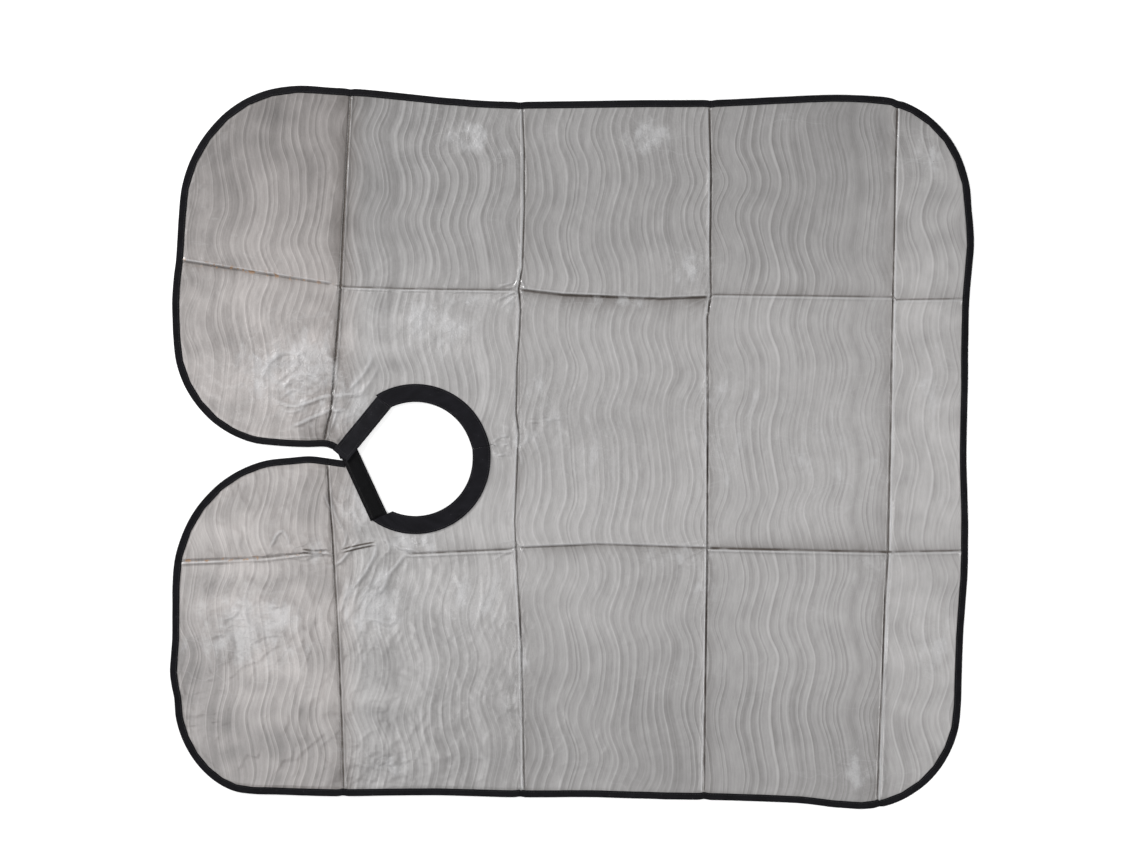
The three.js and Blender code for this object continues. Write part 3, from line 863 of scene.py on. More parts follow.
# Each upright crease wavers about its fold line: share of the half length, and mm sideways.
WAVER = {
    "first_upper": (
        (0.0, -7.5), (0.05, -5), (0.11, 0.6), (0.34, 2.6), (0.45, 3.4), (0.63, 2.0), (0.98, 0.9),
    ),
    "first_lower": (
        (-0.95, 1.3), (-0.73, 2.5), (-0.56, 2.6), (-0.36, 1.3), (-0.24, 0.6), (-0.13, -1.9), (-0.03, -2.5),
    ),
    "middle": (
        (-0.95, 5.5), (-0.53, 1.4), (-0.38, -3.2), (-0.2, -7.8), (0.04, -2), (0.1, -5.6), (0.22, -4.3),
        (0.38, 1.0), (0.44, -2), (0.5, 3.2), (0.66, 5.8), (0.82, 5.8), (0.94, 3.2),
    ),
    "right": (
        (-0.95, -1.4), (-0.28, 1.0), (0.36, -2.2), (0.42, 2.6), (0.56, 0.9), (0.76, 1.0), (0.94, -2.5),
    ),
    "end": (
        (-0.97, -3.0), (-0.42, 0.7), (-0.29, 3.0), (0.41, 0.4), (0.54, 0.1), (0.75, -1.2), (0.93, -1.0),
    ),
}

# The two level creases cross the cape: share of the half width, share of the half length.
LEVEL_UPPER = (
    (-1.0, 0.516), (-0.96, 0.513), (-0.592, 0.449), (-0.56, 0.444), (-0.43, 0.439), (-0.165, 0.435),
    (-0.129, 0.4355), (-0.02, 0.4215), (0.22, 0.4105), (0.34, 0.416), (0.352, 0.423), (0.8, 0.416),
    (0.806, 0.409), (1.0, 0.412),
)
LEVEL_LOWER = (
    (-1.0, -0.315), (-0.77, -0.305), (-0.61, -0.285), (-0.593, -0.292), (-0.566, -0.283), (-0.485, -0.266),
    (-0.40, -0.294), (-0.148, -0.281), (-0.137, -0.269), (-0.128, -0.277), (0.067, -0.268), (0.336, -0.278),
    (0.786, -0.289), (1.0, -0.284),
)
ROW_UPPER, ROW_LOWER = (
    float(np.array(stations)[:, 1].mean() * HALF_LENGTH) for stations in (LEVEL_UPPER, LEVEL_LOWER)
)


def level_y(stations: Sequence[tuple[float, float]], x: Array) -> Array:
    """A level crease's Y at each X."""
    places, heights = np.array(stations).T
    return np.interp(x, places * HALF_WIDTH, heights * HALF_LENGTH)


def waver_at(name: str, y: Array) -> Array:
    """An upright crease's sideways wander at each Y."""
    places, offsets = np.array(WAVER[name]).T
    return np.interp(y, places * HALF_LENGTH, offsets * MM)


# ---------------------------------------------------------------- the closure's places


@dataclass(frozen=True)
class NeckRing:
    """The neckband's round, from the frame's mount and solids."""

    centre: Array
    inner: float
    outer: float

    @classmethod
    def read(cls) -> "NeckRing":
        """Finds the ring."""
        mount = next(m for m in frame["record"]["mounts"] if m["name"] == "neck_ring")
        centre = np.array(mount["pos_m"][:2])
        radii = np.linalg.norm(face_loop("neckband_lower_face") - centre, axis=1)
        return cls(centre, mount["dims"]["r_mm"] * MM, float(radii.max()))

    def at(self, radius: Array, turn: Array) -> Array:
        """Points on the ring's plane, at angles in radians."""
        return self.centre + np.stack([radius * np.cos(turn), radius * np.sin(turn)], axis=-1)


RING = NeckRing.read()
SEAM_TURN = math.radians(9.9)


@dataclass(frozen=True)
class TabLine:
    """A tab's root, direction, length and width."""

    root: Array
    along: Array
    length: float
    width: float

    @property
    def across(self) -> Array:
        """The direction to the left of the tab."""
        return np.array([-self.along[1], self.along[0]])

    def place(self, forward: Array, sideways: Array) -> Array:
        """Points (x, y) at distances along and across the tab."""
        forward, sideways = np.broadcast_arrays(forward, sideways)
        return self.root + np.outer(forward, self.along) + np.outer(sideways, self.across)

    def local(self, x: Array, y: Array) -> tuple[Array, Array]:
        """Distances along and across the tab of each place."""
        dx, dy = x - self.root[0], y - self.root[1]
        return tuple(dx * way[0] + dy * way[1] for way in (self.along, self.across))

    def sweep(self, forward: Array, side: Array, tops: Callable[[float, int], Array], spread: Array) -> tuple:
        """Points, tape places and faces of a tape along the tab.

        Args:
            forward: Distances along the tab.
            side: The section's distances across it, over the top and back below.
            tops: Gives the section's heights at a distance along, and its number.
            spread: How much the section widens at each distance.

        Returns:
            The points, their places on the flat tape, and the faces.
        """
        points, places = [], []
        for k, (f, wider) in enumerate(zip(forward, spread)):
            points.append(np.column_stack([self.place(f, side * wider), tops(f, k)]))
            places.append(np.column_stack([np.full(len(side), f), side, np.zeros(len(side))]))
        return np.vstack(points), np.vstack(places), flipped(tube_rings(len(forward), len(side)))

    @classmethod
    def of_loop_tape(cls) -> "TabLine":
        """Reads the loop tape's rectangle; its root is the end nearest the band."""
        corners = face_loop("loop_tape")
        ahead = np.roll(corners, -1, axis=0)
        size = np.linalg.norm(ahead - corners, axis=1)
        ends = np.argsort(size)[:2]
        root, tip = sorted(((corners[k] + ahead[k]) / 2 for k in ends), key=lambda p: p[1])
        length = float(np.linalg.norm(tip - root))
        return cls(root, (tip - root) / length, length, float(size[ends[0]]))

    @classmethod
    def of_hook_tape(cls) -> "TabLine":
        """Reads the hook tape from its joint and solid."""
        joint = find_joint("hook_tab_peel")
        along = np.array([-joint["axis"][1], joint["axis"][0]])
        root = np.array(joint["pos_m"][:2])
        co = np.array([v.co[:2] for v in frame["nodes"]["hook_tape"].data.vertices]) - root
        side = co @ np.array([-along[1], along[0]])
        return cls(root, along, float((co @ along).max()), float(np.ptp(side)))


HOOK_TAB = TabLine.of_hook_tape()
LOOP_TAB = TabLine.of_loop_tape()


# ---------------------------------------------------------------- the cape's outline


@dataclass
class Stretch:
    """The stretch of the cape's edge that one binding node covers."""

    node: str
    body: str
    points: Array
    widths: Array
    start: float  # distance along the whole edge


class CapeEdge:
    """The cape's whole edge, clockwise from the slit's upper end to its lower end."""

    order = (
        ("slit_end_upper", "collar"), ("flap_upper", "flap_upper"), ("collar_top", "collar"),
        ("panel_middle_top", "panel_middle"), ("panel_right_top", "panel_right"), ("panel_end", "panel_end"),
        ("panel_right_bottom", "panel_right"), ("panel_middle_bottom", "panel_middle"),
        ("collar_bottom", "collar"), ("flap_lower", "flap_lower"), ("slit_end_lower", "collar"),
    )
    # the hidden end of the slit: share of the way to the lower edge's corner, and mm aside
    slit_curve = ((0.87, -1.1), (0.60, 2.2), (0.38, 2.3), (0.18, 1.7))
    slit_width: float = 8.6 * MM
    step: float = 3 * MM
    fine_step: float = 1.3 * MM
    fine_reach: float = 20 * MM
    overlap: float = 0.8 * MM

    def __init__(self) -> None:
        """Joins the outer edges of the binding nodes, rounds them and divides them again."""
        chains, inners = (list(side) for side in zip(*(self.split(*names) for names in self.order)))
        hidden = face_loop("binding_slit_end_lower")
        hidden = hidden[np.argmax(hidden[:, 0] + 1.2 * hidden[:, 1])]
        top, last = chains[1][0], chains[-2][-1]
        reach = hidden - top
        aside = np.array([-reach[1], reach[0]]) / np.linalg.norm(reach)
        onward = (hidden - last) / np.linalg.norm(hidden - last)
        chains[0] = np.array([*(top + t * reach + off * MM * aside for t, off in self.slit_curve), top])
        chains[-1] = np.array([last, *(hidden + off * MM * onward for off in (-6, 1, 5))])
        nodes = [chains[0][:-1], *(chain[1:-1] for chain in chains[1:-1]), chains[-1][1:]]
        self.outline = rounded(np.vstack(nodes), 8)
        run = lengths_along(self.outline)
        self.cuts = [self.nearest(run, (a[-1] + b[0]) / 2) for a, b in zip(chains, chains[1:])]
        ends = [0.0, *self.cuts, run[-1]]
        self.stretches = []
        for (name, body), inner, start, end in zip(self.order, inners, ends, ends[1:]):
            points = along_path(self.outline, run, self.stations(start, end))
            widths = off_path(points[:, 0], points[:, 1], inner)
            usual = np.median(widths)
            widths = np.clip(widths, usual * 0.94, usual * 1.08)  # the coarse inner edge dips at its ends
            if name.startswith("slit_end"):
                widths = np.full(len(points), self.slit_width)
            self.stretches.append(Stretch(name, body, points, widths + self.overlap, start))

    def nearest(self, run: Array, point: Array) -> float:
        """Distance along the outline of its place nearest to a point."""
        found = [off_segment(*point, a, b) for a, b in zip(self.outline, self.outline[1:])]
        k = min(range(len(found)), key=lambda n: found[n][0])
        return float(run[k] + found[k][1] * (run[k + 1] - run[k]))

    def stations(self, start: float, end: float) -> Array:
        """Distances along the edge, closer together near the folds."""
        coarse = np.linspace(start, end, max(2, int((end - start) / self.step) + 1))
        out = [coarse[0]]
        for a, b in zip(coarse, coarse[1:]):
            near = min(abs((a + b) / 2 - c) for c in self.cuts) < self.fine_reach
            parts = max(1, round((b - a) / self.fine_step)) if near else 1
            out.extend(a + (b - a) * (i + 1) / parts for i in range(parts))
        return np.array(out)

    @staticmethod
    def split(name: str, body: str) -> tuple[Array, Array]:
        """The outer and the inner edge of a binding node, both clockwise about the cape."""
        loop = face_loop(f"binding_{name}")
        ahead = np.roll(loop, -1, axis=0) - loop
        behind = np.roll(ahead, 1, axis=0)
        bent = behind[:, 0] * ahead[:, 1] - behind[:, 1] * ahead[:, 0]
        turn = np.abs(np.arctan2(bent, (behind * ahead).sum(1)))
        corners = sorted(np.argsort(turn)[-4:])
        stops = [*corners[1:], corners[0] + len(loop)]
        chains = [loop[np.arange(a, b + 1) % len(loop)] for a, b in zip(corners, stops)]
        chains.sort(key=lambda chain: lengths_along(chain)[-1])
        cloth = face_loop(f"cloth_{body}")

        def share_inside(chain: Array) -> float:
            """How much of a chain lies over the cloth."""
            middles = (chain[:-1] + chain[1:]) / 2
            return float(inside(*middles.T, cloth, np.roll(cloth, -1, axis=0)).mean())

        inner, outer = sorted(chains[-2:], key=share_inside, reverse=True)
        return outer[::-1], inner


EDGE = CapeEdge()


# ---------------------------------------------------------------- the cape's cloth


# Patches of small wrinkles: x and y as shares, reach x, reach y, height and cell in mm, heading,
# stretch, and how strong the painted glints and fine crackle relief on them are.
CRUMPLES = (
    (-0.255, 0.860, 40, 26, 0.9, 9, 35, 2.0, 0.95),
    (-0.170, 0.800, 34, 18, 0.7, 9, -25, 2.0, 0.55),
    (0.190, 0.860, 42, 30, 0.9, 9, 20, 2.0, 0.90),
    (0.290, 0.500, 34, 30, 1.0, 10, 40, 2.2, 0.80),
    (0.560, 0.905, 60, 14, 0.5, 8, 5, 2.0, 0.45),
    (0.880, 0.800, 40, 44, 0.7, 10, -50, 2.4, 0.60),
    (-0.690, 0.215, 90, 62, 1.2, 15, 25, 2.6, 0.92),
    (-0.560, 0.120, 62, 38, 1.3, 13, 10, 2.4, 0.88),
    (-0.330, 0.330, 66, 46, 0.9, 13, 60, 2.2, 0.80),
    (-0.140, 0.420, 26, 26, 1.4, 8, 20, 1.8, 0.60),
    (-0.250, 0.405, 60, 14, 0.8, 7, 8, 2.4, 0.65),
    (0.120, 0.405, 90, 16, 0.6, 8, 85, 2.4, 0.60),
    (-0.125, 0.030, 34, 34, 1.2, 9, 75, 2.2, 0.65),
    (-0.060, 0.120, 60, 60, 0.7, 12, 70, 3.0, 0.50),
    (0.060, 0.010, 90, 90, 0.55, 14, 80, 3.0, 0.45),
    (0.380, 0.060, 60, 120, 0.6, 12, 85, 3.4, 0.50),
    (0.600, -0.020, 110, 120, 0.45, 16, 70, 2.6, 0.45),
    (-0.530, -0.160, 34, 44, 1.4, 9, -60, 2.4, 0.78),
    (-0.400, -0.265, 46, 22, 1.3, 9, 15, 2.0, 0.82),
    (-0.650, -0.290, 56, 24, 0.9, 10, 12, 2.2, 0.55),
    (-0.800, -0.500, 90, 60, 0.9, 14, 30, 2.2, 0.88),
    (-0.480, -0.420, 60, 64, 1.0, 12, 65, 2.6, 0.84),
    (-0.240, -0.420, 60, 50, 0.8, 12, 80, 2.6, 0.66),
    (-0.130, -0.560, 30, 120, 0.8, 10, 85, 3.0, 0.50),
    (-0.470, -0.880, 60, 22, 0.7, 9, 20, 2.0, 0.60),
    (0.250, -0.300, 70, 26, 0.8, 9, 10, 2.2, 0.55),
    (0.740, -0.330, 36, 30, 1.1, 10, -30, 2.2, 0.60),
    (0.700, -0.890, 46, 30, 1.0, 10, -40, 2.2, 0.70),
    (0.890, -0.560, 40, 70, 0.8, 11, 75, 2.6, 0.55),
    (0.900, 0.150, 34, 90, 0.7, 11, 80, 2.8, 0.50),
    (0.330, -0.400, 26, 60, 0.7, 9, 80, 2.6, 0.45),
)

# Single folds: height, width and shade, then the path in mm from the neck ring's centre.
NECK_WRINKLES = (
    (2.1, 2.6, 0.45, ((-199, 87), (-182, 76), (-164, 74), (-145, 80), (-126, 87), (-107, 88), (-88, 90), (-77, 86))),
    (2.0, 2.8, 0.45, ((-177, 46), (-164, 48), (-151, 54), (-135, 61), (-120, 67), (-101, 68), (-89, 66))),
    (1.3, 5.5, 0.10, ((-206, 97), (-212, 109), (-205, 128), (-189, 144), (-164, 147), (-139, 131))),
    (1.2, 3.6, 0.25, ((-188, 84), (-178, 92), (-168, 96), (-150, 92), (-132, 96))),
    (0.9, 1.8, 1.30, ((-158, -127), (-142, -129), (-127, -128))),
    (1.0, 1.8, 1.30, ((-104, -128), (-80, -122), (-54, -117))),
    (1.8, 2.8, 0.35, ((-12, -128), (-26, -146), (-38, -161), (-47, -186))),
    (1.2, 2.2, 0.35, ((-30, -116), (-20, -124), (-2, -126), (12, -136))),
    (1.2, 2.2, 0.30, ((-44, -108), (-36, -120), (-40, -132))),
    (1.3, 3.6, 0.00, ((-186, 92), (-172, 112), (-150, 118), (-130, 112))),
    (1.2, 3.2, 0.20, ((-190, 70), (-170, 66), (-150, 72))),
    (1.1, 2.4, 0.20, ((-118, 40), (-112, 54), (-108, 70))),
    (1.4, 3.2, 0.20, ((-92, 96), (-72, 118), (-58, 142))),
    (1.0, 2.6, 0.00, ((-78, 88), (-60, 112), (-50, 132))),
    (1.6, 2.6, 0.30, ((-76, -110), (-92, -128), (-104, -142), (-120, -150))),
    (1.7, 3.2, 0.25, ((-52, -112), (-58, -134), (-72, -160), (-88, -180))),
    (1.0, 3.4, 0.00, ((-88, -178), (-100, -196), (-104, -214))),
    (1.4, 2.2, 0.30, ((-100, -124), (-96, -108), (-98, -96))),
    (1.3, 2.4, 0.35, ((-116, -60), (-108, -84), (-98, -100))),
    (1.2, 2.2, 0.30, ((-126, -46), (-122, -60), (-116, -72))),
    (1.7, 2.4, 0.30, ((-203, -124), (-196, -112), (-192, -104), (-184, -100), (-178, -108), (-173, -122))),
)

# The same, from the outer end of the neckband's seam.
SEAM_WRINKLES = (
    (1.3, 2.0, 0.35, ((3, 2), (16, 4), (30, 1))),
    (1.2, 2.0, 0.30, ((3, 5), (12, 12), (28, 16))),
    (1.2, 2.0, 0.30, ((2, -5), (14, -12), (24, -10), (32, -16))),
    (1.2, 2.4, 0.25, ((34, 24), (38, 6), (44, -14), (44, -32))),
    (0.9, 2.2, 0.35, ((46, 34), (76, 36), (112, 42))),
)

# Paths of the folds where an upright and a level crease cross.
CROSSING_PATHS = (
    ((-2, 14), (-9, 2), (-3, -8)),
    ((0, 14), (6, 4), (2, -7)),
    ((-4, -2), (-20, -8), (-36, -16)),
    ((-4, -6), (-16, -16), (-28, -26)),
    ((-8, 12), (-18, 8), (-30, 6)),
)


class Drape:
    """How the cape's one cloth lies: its height, worn coating with painted shade, painted highlights, glints and
    sheen, and stains at any place.
    """

    rest_height: float = 1.45 * MM
    lowest: float = 0.62 * MM
    highest: float = 4.3 * MM
    under_binding: float = 1.33 * MM
    under_band: float = 1.5 * MM
    # painted sheen and shade of the top, middle and bottom rows, and of the columns between the upright creases
    row_sheen_and_shade = (-0.17, 0.01, -0.06)
    column_sheen_and_shade = (0.0, 0.02, 0.05, 0.04, 0.18)
    # soft hills: height and cell in mm, seed, stretch
    hills = ((0.55, 95, 1, 1.2), (0.34, 38, 2, 1.6), (0.16, 17, 3, 1.8), (0.05, 8, 4, 2.0))
    # small creases all over: height and cell in mm, heading, stretch
    small = ((0.55, 13, 82, 3.0), (0.50, 11, 8, 2.4), (0.45, 17, 40, 2.2), (0.40, 9, -30, 2.0))

    def __init__(self) -> None:
        """Places the creases, crumples and wrinkles by the frame's features."""
        self.creases = [*self.uprights(), *self.levels()]
        self.crumples = [Crumple(*row, 300 + 7 * k) for k, row in enumerate(CRUMPLES)]
        neck, seam = tuple(RING.centre), tuple(RING.at(RING.outer, SEAM_TURN))
        self.wrinkles = [Wrinkle(neck, *row) for row in NECK_WRINKLES]
        self.wrinkles += [Wrinkle(seam, *row) for row in SEAM_WRINKLES]
        for fold in (MIDDLE, RIGHT):
            for stations in (LEVEL_UPPER, LEVEL_LOWER):
                y = float(level_y(stations, fold.x_at(0.0)))
                here = (float(fold.x_at(y)), y)
                strength = 1.0 if fold is MIDDLE and stations is LEVEL_UPPER else 0.55
                self.wrinkles += [
                    Wrinkle(here, 1.2 * strength, 1.9, 0.3 * strength, path) for path in CROSSING_PATHS
                ]

    @staticmethod
    def uprights() -> list[Crease]:
        """The upright creases; the front one differs above and below the slit."""

        def upright(name: str, fold: Fold, sign: int, low: float, high: float, seed: int, **sizes: float) -> Crease:
            """One crease between two heights, with its ridge towards sign."""
            return Crease(
                lambda x, y: sign * (x - fold.x_at(y) - waver_at(name, y)),
                lambda x, y: smoothstep(low - 2 * MM, low + 2 * MM, y) * smoothstep(high + 2 * MM, high - 2 * MM, y),
                seed, **sizes,
            )

        return [
            upright(
                "first_upper", FLAP_UPPER, 1, SLIT_Y, 1.0, 11, furrow=1.9, ridge=1.7, ridge_off=2.5,
                ridge_width=1.3, rise=0.2, wear=1.8, wear_width=2.2, dull_before=0.95, dull_after=0.7,
                dull_reach=14, crest=1.0,
            ),
            upright(
                "first_lower", FLAP_LOWER, 1, -1.0, SLIT_Y, 21, furrow=1.7, ridge_off=2.4, ridge_width=1.4,
                rise=0.3, wear=1.25, wear_width=1.6, dull_before=0.7, dull_after=0.4, dull_reach=11,
            ),
            upright(
                "middle", MIDDLE, -1, -1.0, 1.0, 31, furrow=1.5, wear=1.05, dull_before=0.6,
                dull_after=0.25, dull_reach=7, crest=0.8,
            ),
            upright(
                "right", RIGHT, -1, -1.0, 1.0, 41, furrow=1.5, wear=1.15, wear_width=1.6, dull_before=0.6,
                dull_after=0.3, dull_reach=7, crest=0.85,
            ),
            upright(
                "end", END, 1, -1.0, 1.0, 51, furrow=1.5, ridge=1.1, wear=1.15, wear_width=1.5,
                dull_before=0.65, dull_after=0.3, dull_reach=8, crest=0.9,
            ),
        ]

    @staticmethod
    def levels() -> list[Crease]:
        """The stretches of the two level creases."""

        def level(stations: Sequence, left: float, right: float, sign: int, seed: int, **sizes: float) -> Crease:
            """One stretch between two shares of the half width, with its ridge towards sign."""
            a, b = left * HALF_WIDTH, right * HALF_WIDTH
            return Crease(
                lambda x, y: sign * (y - level_y(stations, x)),
                lambda x, y: smoothstep(a - 4 * MM, a + 4 * MM, x) * smoothstep(b + 4 * MM, b - 4 * MM, x),
                seed, **sizes,
            )

        upper, lower = LEVEL_UPPER, LEVEL_LOWER
        return [
            level(upper, -1.0, -0.60, 1, 61, furrow=1.3, ridge=1.9, wear=0.8, rise=1.2, dull_before=0.6),
            level(upper, -0.585, -0.14, -1, 71, furrow=1.3, ridge=1.5, ridge_off=2.4, dull_reach=5),
            level(
                upper, -0.125, 0.335, 1, 81, furrow=1.8, ridge=2.0, wear=1.2, rise=1.2, wear_width=1.9,
                dull_before=0.95, dull_reach=13,
            ),
            level(upper, 0.342, 1.0, -1, 91, furrow=1.2, wear=0.75, dull_before=0.35),
            level(lower, -1.0, -0.60, -1, 101, furrow=1.2, ridge=1.4, wear=0.8),
            level(lower, -0.41, -0.14, -1, 111, furrow=1.2, ridge=1.4, wear=0.85),
            level(lower, -0.13, 0.335, 1, 121, furrow=1.2, wear=0.75, dull_before=0.6),
            level(
                lower, 0.342, 0.795, -1, 131, furrow=1.7, ridge=1.9, wear=1.15, wear_width=1.7,
                dull_before=0.8, dull_reach=11,
            ),
            level(lower, 0.80, 1.0, -1, 141, furrow=1.3, wear=0.85),
        ]

    def at(self, x: Array, y: Array) -> dict[str, Array]:
        """Everything about the cloth at each place.

        Args:
            x: Places along the width.
            y: Places along the length.

        Returns:
            The height, and the numbers that the cloth's finish reads, by name.
        """
        height = self.rest_height + self.all_over(x, y)
        for tall, cell, seed, stretch in self.hills:
            height += tall * MM * lattice(x, y, cell * MM, seed, stretch)
        wear, scuff, dull, pale = (np.zeros_like(x) for _ in range(4))
        for crease in self.creases:
            more, worn_and_shaded, more_fold_shade, more_highlight = crease.shape(x, y)
            height += more
            pale, wear, dull = np.maximum(pale, more_highlight), np.maximum(wear, worn_and_shaded), np.maximum(dull, more_fold_shade)
        for patch in self.crumples:
            height += 1.35 * patch.shape(x, y)
            # where the crumpled patches get painted glints and crackle relief
            scuff = np.maximum(scuff, patch.scuff * patch.mask(x, y))
        for wrinkle in self.wrinkles:
            more, worn_and_shaded = wrinkle.shape(x, y)
            height += more
            # painted highlight on the crests of the raised folds, as strong as they are high
            pale = np.maximum(pale, 0.6 * np.clip(more / (2 * MM), 0, 1) ** 1.5)
            wear = np.maximum(wear, worn_and_shaded)

        # the cloth is held flat under the binding, the neckband and the tabs
        edge = off_path(x, y, EDGE.outline[::3])
        roll = 0.5 * MM * bell(edge - 13 * MM, 3.2 * MM)
        free = smoothstep(8.5 * MM, 13.5 * MM, edge)
        height = self.under_binding + (height + roll - self.under_binding) * free
        # a painted shadow line along the binding's inner edge
        wear = np.maximum(wear * free, 0.30 * bell(edge - 9.6 * MM, 1.2 * MM))
        ring = np.hypot(x - RING.centre[0], y - RING.centre[1]) - RING.outer
        height = self.under_band + (height - self.under_band) * smoothstep(0.5 * MM, 6 * MM, ring)
        for tab in (HOOK_TAB, LOOP_TAB):
            forward, side = tab.local(x, y)
            out = np.maximum(np.maximum(-forward, forward - tab.length), np.abs(side) - tab.width / 2)
            height = self.under_band + (height - self.under_band) * smoothstep(0.3 * MM, 5 * MM, out)

        rows = bell(y - level_y(LEVEL_UPPER, x) - 1 * MM, 3 * MM), bell(y - level_y(LEVEL_LOWER, x), 2.5 * MM)
        start = FLAP_UPPER.pivot[0]
        return {
            "height": np.clip(height, self.lowest, self.highest), "fold_wear": wear, "scuff": scuff,
            "stain": np.maximum(*rows) * smoothstep(start + 10 * MM, start - 60 * MM, x), "dull": dull,
            "pale": pale * free, "bloom": self.bloom(x, y),
        }

    def bloom(self, x: Array, y: Array) -> Array:
        """Painted sheen and shade: how much lighter or darker each field between the creases is painted, standing in
        for the way light falls on it.
        """
        top, middle, bottom = self.row_sheen_and_shade
        above, below = y - level_y(LEVEL_UPPER, x), level_y(LEVEL_LOWER, x) - y
        sharp, slow = smoothstep(-3 * MM, 3 * MM, above), smoothstep(0.0, 95 * MM, above)
        tone = middle + (top - middle) * (0.3 * sharp + 0.7 * slow)
        tone += (bottom - middle) * smoothstep(-3 * MM, 3 * MM, below) - 0.09 * smoothstep(110 * MM, 270 * MM, below)
        edges = (-1.0, *(fold.x_at(0.0) for fold in (FLAP_UPPER, MIDDLE, RIGHT, END)), 1.0)
        for more, left, right in zip(self.column_sheen_and_shade, edges, edges[1:]):
            tone += more * smoothstep(left - 3 * MM, left + 3 * MM, x) * smoothstep(right + 3 * MM, right - 3 * MM, x)

        # painted shade darkening the corners, and a patch of painted sheen below the neck
        u, v = x / HALF_WIDTH, y / HALF_LENGTH
        tone -= (0.17 - 0.09 * u + 0.04 * v) * smoothstep(0.92, 1.2, np.hypot(u, v))
        tone += 0.17 * bell(np.hypot(x + 135 * MM, y + 150 * MM), 105 * MM)

        # painted mottled sheen and shade, strongest on the left, standing in for light on the cloth's gentle waves
        left = smoothstep(MIDDLE.pivot[0] + 20 * MM, FLAP_UPPER.pivot[0], x)
        left = left * (1 - 0.6 * smoothstep(-20 * MM, 40 * MM, above))
        right = smoothstep(END.pivot[0] - 5 * MM, END.pivot[0] + 5 * MM, x)
        large = lattice(x + 8 * MM * lattice(x, y, 30 * MM, 705), y, 52 * MM, 703, 0.55)
        small = lattice(x, y + 6 * MM * lattice(x, y, 22 * MM, 706), 24 * MM, 704, 0.8)
        tone += (0.04 + 0.10 * left + 0.05 * right) * large + (0.03 + 0.10 * left + 0.07 * right) * small
        tone += 0.17 * left * lattice(x, y, 100 * MM, 707, 0.2) * bell(below - 60 * MM, 60 * MM)
        return tone + 0.05 * lattice(x, y, 160 * MM, 701)

    def all_over(self, x: Array, y: Array) -> Array:
        """Small creases that lie all over the cape, more in some places than in others."""
        height = np.zeros_like(x)
        for stations, seed, tall in ((LEVEL_UPPER, 660, 0.8 * MM), (LEVEL_LOWER, 670, 0.55 * MM)):
            away = level_y(stations, x) - y
            pleats = np.abs(ripple(x + 5 * MM * lattice(x, y, 50 * MM, seed), 7.5 * MM, seed + 1))
            fade = smoothstep(0, 5 * MM, away) * np.exp(-np.maximum(away, 0) / (26 * MM))
            share = smoothstep(-0.3, 0.3, ripple(x, 100 * MM, seed + 2))
            height += tall * (1.0 - np.minimum(1.0, 2.6 * pleats)) * fade * share
        for k, (tall, cell, turn, stretch) in enumerate(self.small):
            along, across = turned(x, y, turn)
            wobble = 0.6 * cell * MM * lattice(along, across, cell * 2.1 * MM, 620 + k)
            n = lattice(across + wobble, along, cell * MM, 600 + k, stretch)
            share = smoothstep(-0.05, 0.5, lattice(x, y, 85 * MM, 640 + k))
            height += tall * MM * (1.0 - np.minimum(1.0, 3.0 * np.abs(n))) ** 1.5 * share
        return height


DRAPE = Drape()


